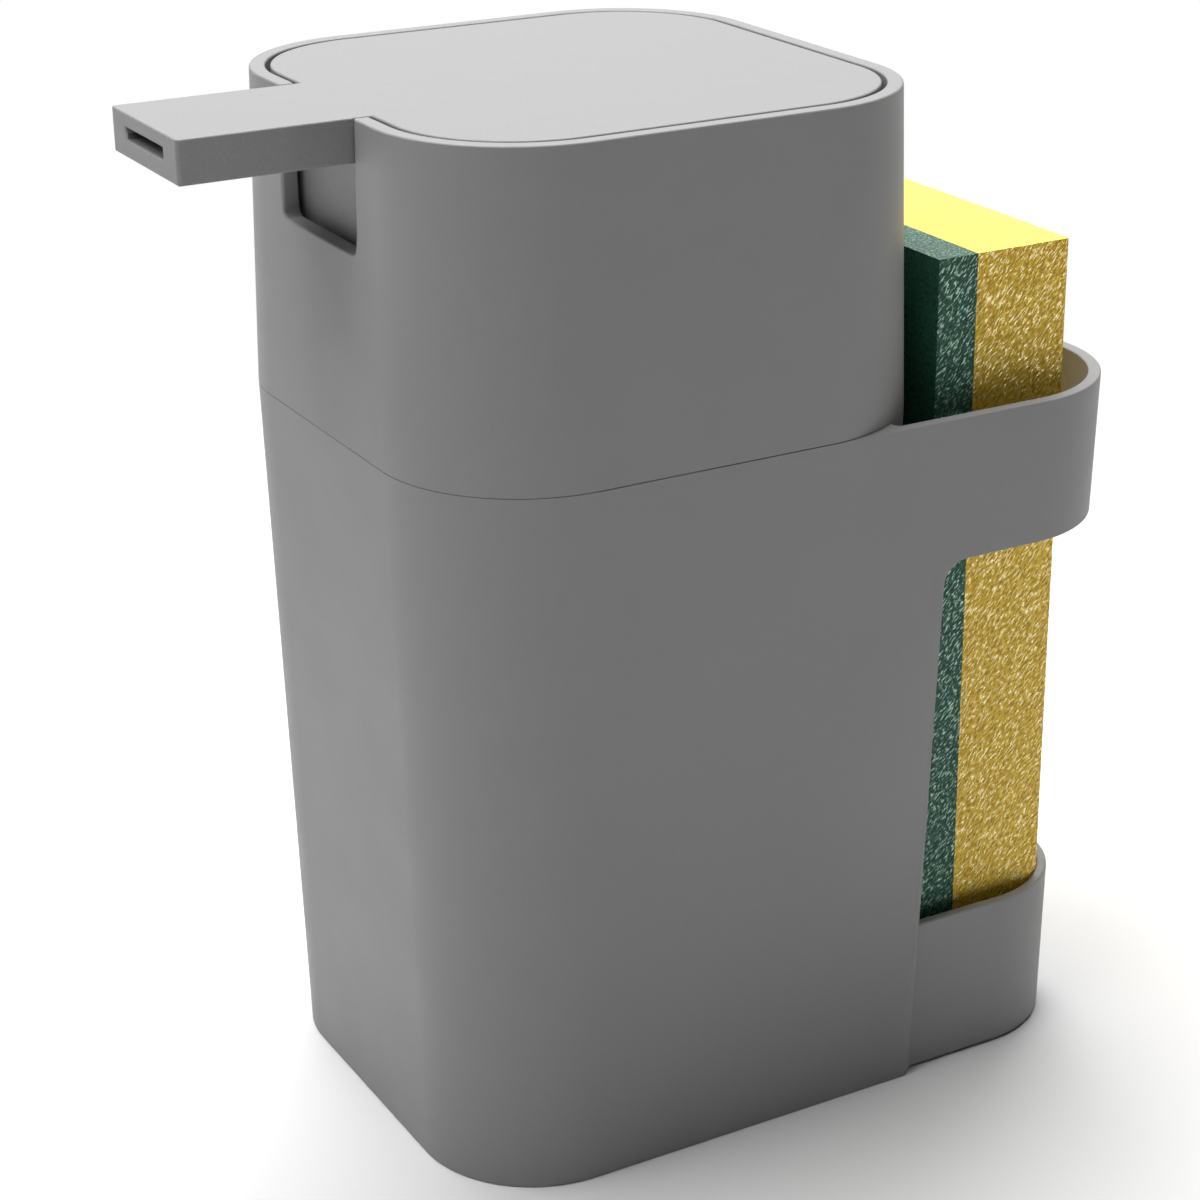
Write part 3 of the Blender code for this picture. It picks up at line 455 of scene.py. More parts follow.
def ease_edges(target, width_of, steps=3):
    """Round each sharp edge by the width for its place, and keep it sharp where that is 0."""
    shape = bmesh.new()
    shape.from_mesh(target.data)
    weight = shape.edges.layers.float.new("bevel_weight_edge")
    eased = 0
    for edge in shape.edges:
        if len(edge.link_faces) != 2 or edge.calc_face_angle() < SHARP_TURN:
            continue
        first, second = (corner.co for corner in edge.verts)
        width = width_of((first + second) / 2, (second - first).normalized())
        edge[weight] = width / WIDEST_EASE
        edge.smooth = width > 0
        eased += width > 0
    shape.to_mesh(target.data)
    shape.free()
    easing = target.modifiers.new("easing", "BEVEL")
    easing.width = WIDEST_EASE
    easing.segments = steps
    easing.limit_method = "WEIGHT"
    easing.use_clamp_overlap = False
    bake(target)
    return eased


def even_shading(target):
    """Smooth shading in which the largest faces rule."""
    target.data.shade_smooth()
    shading = target.modifiers.new("even_shading", "WEIGHTED_NORMAL")
    shading.keep_sharp = True
    shading.weight = LARGE_FACE_WEIGHT
    bake(target)


print("no edge is eased by more than", 1000 * WIDEST_EASE, "mm")

# %% [markdown]
# The model already holds the sizes that matter, so we read them from its boxes instead of
# typing them again. What the boxes can't tell, such as wall thicknesses and corner radii, is
# named here. Everything is made round the pump's upright axis and moved into place at the end.

# %% Sizes that the mouldings share
container_low, container_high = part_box("container")
housing_low, housing_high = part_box("head_housing")
push_low, push_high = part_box("push_head")
stem_low, stem_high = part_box("pump_stem")

AXIS_Y = (stem_low.y + stem_high.y) / 2
MOUTH_HALF_WIDTH = container_high.x
MOUTH_HALF_DEPTH = AXIS_Y - container_low.y
FRONT_FLAT_HALF_WIDTH = 0.0212
MOUTH_CORNER = MOUTH_HALF_WIDTH - FRONT_FLAT_HALF_WIDTH
HOLDER_BACK = container_high.y - AXIS_Y
PARTING_HEIGHT = container_high.z
TOP_HEIGHT = housing_high.z
OVERRUN = 0.003
GAP = 0.0003
print("pump axis at y =", round(1000 * AXIS_Y, 2), "mm")
print("parting line at", round(1000 * PARTING_HEIGHT, 1), "mm")

# %% The container's taper
SIDE_DRAFT = 0.0034
FRONT_DRAFT = 0.0026
CORNER_DRAFT = 0.0031
CONTAINER_WALL = 0.0022


def drafted(size, draft, height):
    """A size of the container at a height: the taper takes its share of the draft."""
    return size - draft * (1 - height / PARTING_HEIGHT)


def width_at(height):
    """Half the vessel's width."""
    return drafted(MOUTH_HALF_WIDTH, SIDE_DRAFT, height)


def depth_at(height):
    """Half the vessel's depth."""
    return drafted(MOUTH_HALF_DEPTH, FRONT_DRAFT, height)


def corner_at(height):
    """Radius of the vessel's upright corners."""
    return drafted(MOUTH_CORNER, CORNER_DRAFT, height)


def vessel_plan(height, inset=0.0):
    """Outside of the soap container, drawn in by an inset."""
    half_width = width_at(height) - inset
    half_depth = depth_at(height) - inset
    corner = corner_at(height) - inset
    return rounded_plan(half_width, -half_depth, half_depth, corner, corner)


print("the foot is narrower than the mouth by", round(2000 * SIDE_DRAFT, 1), "mm")

# %% Dressing a piece


def dress(target, material, body, cad_node):
    """Give a piece its material, hang it on the body that it rides on, and hide the model's piece
    that it replaces.
    """
    target.data.materials.clear()
    target.data.materials.append(material)
    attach(target, body)
    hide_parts(cad_node)
    print(target.name, len(target.data.polygons), "faces")


def settle(target, material, body, cad_node):
    """Move a finished moulding into place and dress it."""
    target.data.transform(Matrix.Translation((0, AXIS_Y, 0)))
    dress(target, material, body, cad_node)


# %% [markdown]
# The container is one moulding with its sponge holder. Seen from above, its side walls run on
# past the vessel as a band round the back. Below the band the wall is cut away from behind, so
# two fins stay at the sides, and a cup at the foot catches the sponge. The quickest true way is
# the mould maker's own: start from the whole sleeve, take away the bay behind the vessel and
# the window under the band, then add the cup and hollow out the vessel.

# %% The bay and the window behind the vessel
HOLDER_WALL = 0.0021
HOLDER_CORNER = 0.0218
HOLDER_BACK_DRAFT = 0.0014
BAND_HEIGHT = 0.0242
FIN_SETBACK = 0.0012
FIN_FOOT_FILLET = 0.0020
WINDOW_FILLET = 0.0040
BAY_TIP_RADIUS = 0.0010


def sleeve_plan(height):
    """Outside of the vessel with the holder's band carried on behind it."""
    back = drafted(HOLDER_BACK, HOLDER_BACK_DRAFT, height)
    front_corner = corner_at(height)
    return rounded_plan(width_at(height), -depth_at(height), back, front_corner, HOLDER_CORNER)


def bay_plan(height):
    """Inside of the holder's wall, closed in front where it meets the vessel's corners."""
    half_width = width_at(height) - HOLDER_WALL
    corner = corner_at(height)
    across = corner - HOLDER_WALL - BAY_TIP_RADIUS
    along = sqrt((corner + BAY_TIP_RADIUS) ** 2 - across**2)
    front = depth_at(height) - corner + along - BAY_TIP_RADIUS
    back = drafted(HOLDER_BACK, HOLDER_BACK_DRAFT, height) - HOLDER_WALL
    return rounded_plan(half_width, front, back, BAY_TIP_RADIUS, HOLDER_CORNER - HOLDER_WALL)


def make_bay():
    """What is taken out behind the vessel: the bay inside the band, and the window."""
    above = PARTING_HEIGHT + OVERRUN
    bay = loft("bay", [(-OVERRUN, bay_plan(-OVERRUN)), (above, bay_plan(above))])
    band_bottom = PARTING_HEIGHT - BAND_HEIGHT
    bend = band_bottom - WINDOW_FILLET
    top = depth_at(bend) - FIN_SETBACK
    foot = depth_at(0) - FIN_SETBACK - FIN_FOOT_FILLET
    behind = HOLDER_BACK + OVERRUN
    profile = [(foot, -OVERRUN)]
    profile += arc(foot, FIN_FOOT_FILLET, FIN_FOOT_FILLET, -90, 0, 8)
    profile += arc(top + WINDOW_FILLET, bend, WINDOW_FILLET, 180, 90, 16)
    profile += [(behind, band_bottom), (behind, -OVERRUN)]
    reach = MOUTH_HALF_WIDTH + OVERRUN
    window = prism("window", profile, -reach, reach, "X")
    low = -2 * OVERRUN
    high = PARTING_HEIGHT + 2 * OVERRUN
    vessel = loft("vessel", [(low, vessel_plan(low)), (high, vessel_plan(high))])
    return carve(bay, ("UNION", window), ("DIFFERENCE", vessel))


print("band is", round(1000 * BAND_HEIGHT, 1), "mm high")

# %% The cup at the foot
CUP_HEIGHT = 0.0283
CUP_WALL = 0.0017
CUP_FLOOR = 0.0020
CUP_LIFT = 0.0004
CUP_BITE = 0.00055
CUP_BACK_ROOM = 0.0068
CUP_CORNER = 0.0190
RIB_HEIGHT = 0.0030
RIB_WIDTH = 0.0020
RIB_PITCH = 0.0180

foam_low, foam_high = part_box("sponge_foam")
CUP_BACK = foam_high.y - AXIS_Y + CUP_BACK_ROOM + CUP_WALL


def cup_plan(height, inset, front):
    """Plan of the cup, from a front inside the vessel to its rounded back."""
    half_width = width_at(height) - HOLDER_WALL + CUP_BITE - inset
    return rounded_plan(half_width, front, CUP_BACK - inset, BAY_TIP_RADIUS, CUP_CORNER - inset)


def make_cup():
    """Cup with three drain ribs on its floor."""
    front = depth_at(0) - corner_at(0)
    floor = CUP_LIFT + CUP_FLOOR
    above = CUP_HEIGHT + OVERRUN
    cup = loft("cup", [(z, cup_plan(z, 0, front)) for z in (CUP_LIFT, CUP_HEIGHT)])
    inner = [(z, cup_plan(z, CUP_WALL, front - OVERRUN)) for z in (floor, above)]
    steps = [("DIFFERENCE", loft("cup_inside", inner))]
    rib_front = depth_at(0) - CONTAINER_WALL / 2
    for number in (-1, 0, 1):
        middle = number * RIB_PITCH
        low = (middle - RIB_WIDTH / 2, rib_front, floor - CUP_FLOOR / 2)
        high = (middle + RIB_WIDTH / 2, CUP_BACK - CUP_WALL / 2, floor + RIB_HEIGHT)
        steps.append(("UNION", block(f"rib_{number}", low, high)))
    return carve(cup, *steps)


print("cup is", round(1000 * CUP_HEIGHT, 1), "mm high")

# %% Carve the container
VESSEL_FLOOR = 0.0030
FOOT_RIM = 0.0045
FOOT_RECESS = 0.0010

container = loft(
    "container_moulding", [(0, sleeve_plan(0)), (PARTING_HEIGHT, sleeve_plan(PARTING_HEIGHT))]
)
above_mouth = PARTING_HEIGHT + OVERRUN
cavity = loft(
    "cavity", [(z, vessel_plan(z, CONTAINER_WALL)) for z in (VESSEL_FLOOR, above_mouth)]
)
recess = loft("recess", [(z, vessel_plan(0, FOOT_RIM)) for z in (-OVERRUN, FOOT_RECESS)])
carve(
    container,
    ("DIFFERENCE", make_bay()),
    ("UNION", make_cup()),
    ("DIFFERENCE", cavity),
    ("DIFFERENCE", recess),
)
tidy_faces(container)
print("container after the cuts:", len(container.data.polygons), "faces")

# %% Ease the container's edges
FIN_END = depth_at(CUP_HEIGHT) - FIN_SETBACK
SAME_HEIGHT = 0.0002
SAME_PLACE = 0.0001
WALL_EASE = 0.00030
CUP_RIM_EASE = 0.00050
PARTING_EASE = 0.00006
FLAT_EDGE = 0.1
UPRIGHT_EDGE = 0.9

# Where the cup runs into a fin: before and behind the fin's end, above the foot, beside the axis
JOINT_BEFORE = 0.009
JOINT_BEHIND = 0.001
JOINT_FOOT = 0.001
JOINT_SIDE = 0.037


def container_ease(middle, direction):
    """Sharp where the cup meets the fins, round at its rim, fine at the parting line."""
    behind_fins = middle.y - FIN_END
    if abs(middle.z - CUP_HEIGHT) < SAME_HEIGHT and abs(direction.z) < FLAT_EDGE:
        return CUP_RIM_EASE if behind_fins > SAME_PLACE else 0.0
    at_joint = middle.z < CUP_HEIGHT and -JOINT_BEFORE < behind_fins < JOINT_BEHIND
    on_seam = abs(direction.z) > UPRIGHT_EDGE or middle.z < JOINT_FOOT
    if at_joint and on_seam and abs(middle.x) > JOINT_SIDE:
        return 0.0
    at_parting = middle.z > PARTING_HEIGHT - SAME_HEIGHT
    if at_parting and middle.y < MOUTH_HALF_DEPTH - MOUTH_CORNER / 2:
        return PARTING_EASE
    return WALL_EASE


print("container edges eased:", ease_edges(container, container_ease))
even_shading(container)
settle(container, wall_plastic, "container", "container")

# %% [markdown]
# The head housing is a second rounded square that stands flush on the container. Its rim is an
# open wall round the push plate, and a notch in the front lets the spout travel down. Inside, a
# deck carries the pump, and a lip below plugs into the container's mouth.

# %% Sizes of the head housing
SEAM_GAP = 0.00008
HEAD_DRAFT = 0.0012
HEAD_CORNER_DRAFT = 0.0006
RIM_WALL = 0.0025
DECK_RISE = 0.0071
DECK_THICKNESS = 0.0025
LIP_WALL = 0.0026
SEAL_HEIGHT = 0.0020
SEAL_THICKNESS = 0.0012
SEAL_DROP = 0.0030
NOTCH_HALF_WIDTH = 0.0134
NOTCH_CORNER = 0.0015
PRESS_TRAVEL = 0.0120
SPOUT_HEIGHT = 0.0067
SPOUT_ROOM = 0.0017
PUMP_HOLE_RADIUS = 0.0093
COLLAR_SEAT_BORE = 0.0133
COLLAR_SEAT_RADIUS = 0.0153
COLLAR_SEAT_HEIGHT = 0.0054
NOTCH_BOTTOM = TOP_HEIGHT - SPOUT_HEIGHT - PRESS_TRAVEL - SPOUT_ROOM
PLATE_HALF_DEPTH = push_high.y - AXIS_Y
PLATE_HALF_WIDTH = push_high.x
DECK_TOP = PARTING_HEIGHT + DECK_RISE + DECK_THICKNESS


def head_plan(inset, share):
    """Outside of the head, which narrows from the parting line up to its rim."""
    half_width = MOUTH_HALF_WIDTH - HEAD_DRAFT * share - inset
    half_depth = MOUTH_HALF_DEPTH - HEAD_DRAFT * share - inset
    corner = MOUTH_CORNER - HEAD_CORNER_DRAFT * share - inset
    return rounded_plan(half_width, -half_depth, half_depth, corner, corner)


print("notch is", round(1000 * (TOP_HEIGHT - NOTCH_BOTTOM), 1), "mm deep")

# %% Carve the head housing


def tube_profile(inner, outer, low, high):
    """Section of a tube, or of a rod where the inner radius is 0."""
    return [(inner, low), (outer, low), (outer, high), (inner, high)]


def make_housing():
    """The housing with its deck, lip, notch and seal groove."""
    deck_bottom = PARTING_HEIGHT + DECK_RISE
    housing = loft(
        "head_moulding",
        [(PARTING_HEIGHT + SEAM_GAP, head_plan(0, 0)), (TOP_HEIGHT, head_plan(0, 1))],
    )
    lip_bottom = housing_low.z
    lip_inset = CONTAINER_WALL + GAP
    outer = vessel_plan(lip_bottom, lip_inset)
    inner = vessel_plan(lip_bottom, lip_inset + LIP_WALL)
    lip = loft("lip", [(lip_bottom, outer), (deck_bottom + DECK_THICKNESS / 2, outer)])
    under_deck = loft("under_deck", [(lip_bottom - OVERRUN, inner), (deck_bottom, inner)])
    above = TOP_HEIGHT + OVERRUN
    well = loft("well", [(DECK_TOP, head_plan(RIM_WALL, 1)), (above, head_plan(RIM_WALL, 1))])
    corner_x = NOTCH_HALF_WIDTH - NOTCH_CORNER
    corner_z = NOTCH_BOTTOM + NOTCH_CORNER
    profile = arc(-corner_x, corner_z, NOTCH_CORNER, 180, 270, 6)
    profile += arc(corner_x, corner_z, NOTCH_CORNER, 270, 360, 6)
    profile += [(NOTCH_HALF_WIDTH, above), (-NOTCH_HALF_WIDTH, above)]
    notch = prism("notch", profile, -MOUTH_HALF_DEPTH - OVERRUN, -PLATE_HALF_DEPTH, "Y")
    seal_top = PARTING_HEIGHT - SEAL_DROP + GAP
    seal_bottom = seal_top - SEAL_HEIGHT - 2 * GAP
    around = vessel_plan(lip_bottom, -OVERRUN)
    groove = loft("groove", [(seal_bottom, around), (seal_top, around)])
    land = vessel_plan(lip_bottom, lip_inset + SEAL_THICKNESS + GAP)
    core = loft("core", [(seal_bottom - OVERRUN, land), (seal_top + OVERRUN, land)])
    carve(groove, ("DIFFERENCE", core))
    hole_low = deck_bottom - OVERRUN
    hole = turned("hole", tube_profile(0, PUMP_HOLE_RADIUS, hole_low, DECK_TOP + OVERRUN))
    seat_low = DECK_TOP - DECK_THICKNESS / 2
    seat_high = DECK_TOP + COLLAR_SEAT_HEIGHT
    seat = turned("seat", tube_profile(COLLAR_SEAT_BORE, COLLAR_SEAT_RADIUS, seat_low, seat_high))
    return carve(
        housing,
        ("UNION", lip),
        ("DIFFERENCE", under_deck),
        ("DIFFERENCE", well),
        ("DIFFERENCE", notch),
        ("DIFFERENCE", groove),
        ("UNION", seat),
        ("DIFFERENCE", hole),
    )


housing = make_housing()
tidy_faces(housing)
print("housing after the cuts:", len(housing.data.polygons), "faces")

# %% Ease the housing's edges
HEAD_EASE = 0.00035
RIM_END_EASE = 0.00080
RIM_END_REACH = 0.004


def housing_ease(middle, direction):
    """Round at the ends of the rim beside the spout, fine at the parting line."""
    if middle.z < PARTING_HEIGHT + 2 * GAP:
        return PARTING_EASE
    above_notch = middle.z > NOTCH_BOTTOM + RIM_END_REACH
    at_front = middle.y < -MOUTH_HALF_DEPTH + RIM_END_REACH
    if abs(direction.z) > UPRIGHT_EDGE and above_notch and at_front:
        return RIM_END_EASE
    return HEAD_EASE


print("housing edges eased:", ease_edges(housing, housing_ease, 4))
even_shading(housing)
settle(housing, wall_plastic, "head", "head_housing")

# %% [markdown]
# The push head is the part that a hand touches: a flat plate with a skirt under it and a
# straight flat spout in one piece with the plate. The spout is a bar with a narrow slot in its
# end, where the soap comes out. A duct runs from the slot back to the pump's stem.

# %% Sizes of the push head
PLATE_ROOM = 0.0008
PLATE_CORNER = MOUTH_CORNER - HEAD_CORNER_DRAFT - RIM_WALL - PLATE_ROOM
SPOUT_REACH = AXIS_Y - push_low.y
SPOUT_HALF_WIDTH = 0.0130
PLATE_THICKNESS = 0.0024
SKIRT_WALL = 0.0018
DUCT_HALF_WIDTH = 0.0074
DUCT_HEIGHT = 0.0019
DUCT_DROP = 0.0021
DUCT_WALL = 0.0016
DUCT_BACK = 0.00225
CASE_BACK = 0.0039
RIB_HALF_THICKNESS = 0.0006
RIB_DEPTH = 0.0060
STEM_SEAT_DEPTH = 0.0010
STEM_BORE = 0.0040
THROAT_RADIUS = 0.0013
BOSS_RADIUS = 0.0060
BOSS_BOTTOM = 0.1515
print("spout reaches", round(1000 * SPOUT_REACH, 1), "mm from the pump's axis")

# %% Carve the push head


def make_push_head():
    """Plate, skirt, spout and duct."""
    skirt_bottom = push_low.z
    spout_bottom = TOP_HEIGHT - SPOUT_HEIGHT
    plate_bottom = TOP_HEIGHT - PLATE_THICKNESS
    plate_only = rounded_plan(
        PLATE_HALF_WIDTH, -PLATE_HALF_DEPTH, PLATE_HALF_DEPTH, PLATE_CORNER, PLATE_CORNER
    )
    head = loft("push_moulding", [(skirt_bottom, plate_only), (TOP_HEIGHT, plate_only)])
    spout = block(
        "spout",
        (-SPOUT_HALF_WIDTH, -SPOUT_REACH, spout_bottom),
        (SPOUT_HALF_WIDTH, -PLATE_HALF_DEPTH + SKIRT_WALL / 2, TOP_HEIGHT),
    )
    inner_width = PLATE_HALF_WIDTH - SKIRT_WALL
    inner_depth = PLATE_HALF_DEPTH - SKIRT_WALL
    inner_corner = PLATE_CORNER - SKIRT_WALL
    inner = rounded_plan(inner_width, -inner_depth, inner_depth, inner_corner, inner_corner)
    hollow = loft("hollow", [(skirt_bottom - OVERRUN, inner), (plate_bottom, inner)])
    buried = plate_bottom + PLATE_THICKNESS / 2
    boss = turned("boss", tube_profile(0, BOSS_RADIUS, BOSS_BOTTOM, buried))
    duct_top = TOP_HEIGHT - DUCT_DROP
    duct_bottom = duct_top - DUCT_HEIGHT
    case_half = DUCT_HALF_WIDTH + DUCT_WALL
    case = block(
        "case",
        (-case_half, -inner_depth - SKIRT_WALL / 2, duct_bottom - DUCT_WALL),
        (case_half, CASE_BACK, buried),
    )
    rib_low = plate_bottom - RIB_DEPTH
    side_rib = block(
        "side_rib",
        (-inner_width - SKIRT_WALL / 2, -RIB_HALF_THICKNESS, rib_low),
        (inner_width + SKIRT_WALL / 2, RIB_HALF_THICKNESS, buried),
    )
    back_rib = block(
        "back_rib",
        (-RIB_HALF_THICKNESS, 0, rib_low),
        (RIB_HALF_THICKNESS, inner_depth + SKIRT_WALL / 2, buried),
    )
    duct = block(
        "duct",
        (-DUCT_HALF_WIDTH, -SPOUT_REACH - OVERRUN, duct_bottom),
        (DUCT_HALF_WIDTH, DUCT_BACK, duct_top),
    )
    bore_low = BOSS_BOTTOM - OVERRUN
    ceiling = duct_bottom - DUCT_WALL - STEM_SEAT_DEPTH
    inlet_top = duct_bottom + DUCT_HEIGHT / 2
    bore = turned(
        "bore",
        [
            (0, bore_low),
            (STEM_BORE, bore_low),
            (STEM_BORE, ceiling),
            (THROAT_RADIUS, ceiling),
            (THROAT_RADIUS, inlet_top),
            (0, inlet_top),
        ],
    )
    return carve(
        head,
        ("UNION", spout),
        ("DIFFERENCE", hollow),
        ("UNION", boss),
        ("UNION", case),
        ("UNION", side_rib),
        ("UNION", back_rib),
        ("DIFFERENCE", duct),
        ("DIFFERENCE", bore),
    )


push_head = make_push_head()
tidy_faces(push_head)
print("push head after the cuts:", len(push_head.data.polygons), "faces")

# %% Ease the push head's edges
SPOUT_EASE = 0.00070
SPOUT_EDGE = 0.001
HIDDEN_SHARE = 0.6


def push_ease(middle, direction):
    """Round at the spout's upright corners, sharp inside the skirt, fine elsewhere."""
    within = abs(middle.x) < PLATE_HALF_WIDTH - HIDDEN_SHARE * SKIRT_WALL
    within = within and abs(middle.y) < PLATE_HALF_DEPTH - HIDDEN_SHARE * SKIRT_WALL
    if within and middle.z < TOP_HEIGHT - PLATE_THICKNESS / 2:
        return 0.0
    at_side = abs(middle.x) > SPOUT_HALF_WIDTH - SPOUT_EDGE
    at_tip = middle.y < -SPOUT_REACH + SPOUT_EDGE and at_side
    return SPOUT_EASE if abs(direction.z) > UPRIGHT_EDGE and at_tip else HEAD_EASE


print("push head edges eased:", ease_edges(push_head, push_ease))
even_shading(push_head)
settle(push_head, plate_plastic, "plunger", "push_head")

# %% [markdown]
# The sponge has two layers: a thin pad of tangled green fibre that scours, and a thick layer of
# yellow foam. Both are cut from a sheet, so their edges are straight, but their surface is all
# small bumps. A plain box can't show that, so each layer starts as a fine grid on all six sides
# and every point is pushed in a little by noise that is stretched along a slant, the way that
# the cutting drags the foam.

# %% Grids on all six sides
GRID_STEP = 0.0006
SAME_POINT = 0.0000001


def axis_steps(low, high, step):
    """Even positions from low to high, about a step apart."""
    count = max(2, round((high - low) / step))
    return [low + (high - low) * number / count for number in range(count + 1)]


def grid_block(name, low, high, step):
    """A block whose six sides are fine grids."""
    steps = [axis_steps(low[axis], high[axis], step) for axis in range(3)]
    shape = bmesh.new()
    known = {}

    def point(*spot):
        """The one corner at a spot, which its faces share."""
        key = tuple(round(value / SAME_POINT) for value in spot)
        if key not in known:
            known[key] = shape.verts.new(spot)
        return known[key]

    for flat in range(3):
        first, second = (flat + 1) % 3, (flat + 2) % 3
        for level in (low[flat], high[flat]):
            for a, b in zip(steps[first], steps[first][1:]):
                for c, d in zip(steps[second], steps[second][1:]):
                    corners = []
                    for one, two in ((a, c), (b, c), (b, d), (a, d)):
                        spot = [0.0, 0.0, 0.0]
                        spot[flat], spot[first], spot[second] = level, one, two
                        corners.append(point(*spot))
                    shape.faces.new(corners)
    return new_object(name, shape)


print("grid step is", 1000 * GRID_STEP, "mm")

# %% Round and roughen a grid
DRAG = Vector((0.12, 0.66, 0.74)).normalized()
RELIEF = 0.00009
CRINKLE_ACROSS = 0.0017
CRINKLE_ALONG = 0.0038
ELSEWHERE = Vector((0.7, 0.2, 0.4))
HIGHEST_CRINKLE = 1.1


def round_upright_edges(target, low, high, front_radius, back_radius):
    """Round a block's upright edges, those at the back by a radius for each height."""
    middle_y = (low[1] + high[1]) / 2
    for corner in target.data.vertices:
        spot = corner.co
        in_front = spot.y < middle_y
        radius = front_radius if in_front else back_radius(spot.z)
        centre_x = high[0] - radius
        centre_y = low[1] + radius if in_front else high[1] - radius
        over_x = abs(spot.x) - centre_x
        over_y = centre_y - spot.y if in_front else spot.y - centre_y
        if over_x <= 0 or over_y <= 0:
            continue
        reach = max(over_x, over_y)
        length = sqrt(over_x**2 + over_y**2)
        new_x = centre_x + over_x * reach / length
        new_y = over_y * reach / length
        spot.x = new_x if spot.x > 0 else -new_x
        spot.y = centre_y - new_y if in_front else centre_y + new_y


def crinkle(spot, across, along):
    """Noise stretched along the drag direction, from about -1 to 1."""
    run = spot.dot(DRAG)
    rest = spot - run * DRAG
    return noise.noise(rest / across + DRAG * (run / along))


def roughen(target, low, high):
    """Push the surface in by noise and by finer noise, and never past the block's own box."""
    corners = target.data.vertices
    normals = [corner.normal.copy() for corner in corners]
    for corner, outward in zip(corners, normals):
        value = crinkle(corner.co, CRINKLE_ACROSS, CRINKLE_ALONG)
        value += crinkle(corner.co + ELSEWHERE, CRINKLE_ACROSS / 2, CRINKLE_ALONG / 2) / 2
        corner.co += outward * (RELIEF * (value - HIGHEST_CRINKLE) / 2)
        for axis in range(3):
            corner.co[axis] = min(max(corner.co[axis], low[axis]), high[axis])


print("relief is about", round(1000 * RELIEF, 2), "mm deep")

# %% [markdown]
# Foam catches light on the walls of its torn bubbles, and the pad on the tips of its fibres.
# In the material, the same slanted noise as in the mesh carries on at a finer scale. It bumps
# the surface and paints shade into its valleys, and the peak of each ridge is smooth and partly
# mirror-like, with a pale painted glint in its colour. The painted glints show where the surface
# faces left or right, fade where it faces the front or the back, and grow weak where it faces up.
# Faces that point up get their own colour, painted light for how the light falls on the top; on
# the foam it is an even lemon.

# %% Foam and fibre materials
# In each look, the deep colour is painted shade for the valleys, the pale peak colour is a
# painted glint, and the top colour is painted light on the faces that point up.
FOAM = {
    "deep": (0.60, 0.33, 0.007),
    "light": (1.0, 0.68, 0.034),
    "painted_glint": (1.0, 0.85, 0.48),
    "top": (1.0, 0.84, 0.120),
    "painted_top_light_share": 0.70,
    "ridge_scale": 3300,
    "specular": 0.5,
    "crest_mirror": 0.60,
}
FIBRE = {
    "deep": (0.008, 0.050, 0.029),
    "light": (0.030, 0.135, 0.082),
    "painted_glint": (0.48, 0.68, 0.57),
    "top": (0.020, 0.075, 0.052),
    "painted_top_light_share": 0.50,
    "ridge_scale": 3600,
    "specular": 0.3,
    "crest_mirror": 0.42,
}
RIDGE_STRETCH = 0.30
RIDGE_DEPTH = 0.00022
VALLEY_END = 0.36
SLOPE_END = 0.53
CREST_START = 0.58
CREST_END = 0.64
BROAD_SIDE = 0.70
DULL_SURFACE = 0.50
SMOOTH_CREST = 0.22


def slanted(tree, where):
    """Coordinates squeezed along the drag direction, so that noise comes out stretched."""
    turn = DRAG.rotation_difference(Vector((0, 0, 1))).to_euler()
    turned_place = node(tree, "Mapping", {"Rotation": turn}, Vector=where)
    squeeze = {"Scale": (1, 1, RIDGE_STRETCH)}
    return node(tree, "Mapping", squeeze, Vector=turned_place.outputs[0]).outputs[0]


def sponge_material(name, look):
    """Crinkled surface with slanted ridges, painted shade in the valleys, a painted glint on each
    ridge's peak and painted light on faces that point up.
    """
    made, tree, shader = new_material(name)
    ridges = speckle(tree, slanted(tree, place(tree)), look["ridge_scale"], detail=1.0)
    # Painted shade: the colour is darker in the valleys of the ridges and lighter on their
    # slopes.
    painted_valley_shade = spread(tree, ridges, 0, 1, VALLEY_END, SLOPE_END)
    colour = blend_colours(tree, painted_valley_shade, look["deep"], look["light"])
    outward = node(tree, "SeparateXYZ", Vector=node(tree, "TexCoord").outputs["Normal"])
    # Painted light: faces that point up are blended towards their own top colour, and the painted
    # glints weaken there.
    painted_top_light = combine(tree, "MULTIPLY", outward.outputs["Z"], look["painted_top_light_share"])
    colour = blend_colours(tree, painted_top_light, colour, look["top"])
    # The painted glints fade where the surface faces the front or the back.
    forward = node(tree, "Math", {"operation": "ABSOLUTE"}, Value=outward.outputs["Y"])
    painted_glint_sides = spread(tree, forward.outputs[0], 1, 0, 0, BROAD_SIDE)
    # Painted glint: each ridge's peak gets a pale colour, and it is also smoother and partly
    # metallic.
    painted_glint_and_gloss = spread(tree, ridges, 0, 1, CREST_START, CREST_END)
    painted_glint_and_gloss = combine(tree, "MULTIPLY", painted_glint_and_gloss, painted_glint_sides)
    painted_glint_and_gloss = combine(tree, "MULTIPLY", painted_glint_and_gloss, spread(tree, painted_top_light, 1, 0, 0, 1))
    colour = blend_colours(tree, painted_glint_and_gloss, colour, look["painted_glint"])
    dullness = spread(tree, painted_glint_and_gloss, DULL_SURFACE, SMOOTH_CREST, 0, 1)
    mirror = combine(tree, "MULTIPLY", painted_glint_and_gloss, look["crest_mirror"])
    wire(tree, shader, Base_Color=colour, Roughness=dullness, Metallic=mirror)
    shader.inputs["Specular IOR Level"].default_value = look["specular"]
    bump(tree, shader, ridges, RIDGE_DEPTH)
    return made


foam_material = sponge_material("yellow_foam", FOAM)
fibre_material = sponge_material("green_fibre", FIBRE)
print("sponge materials:", foam_material.name, fibre_material.name)

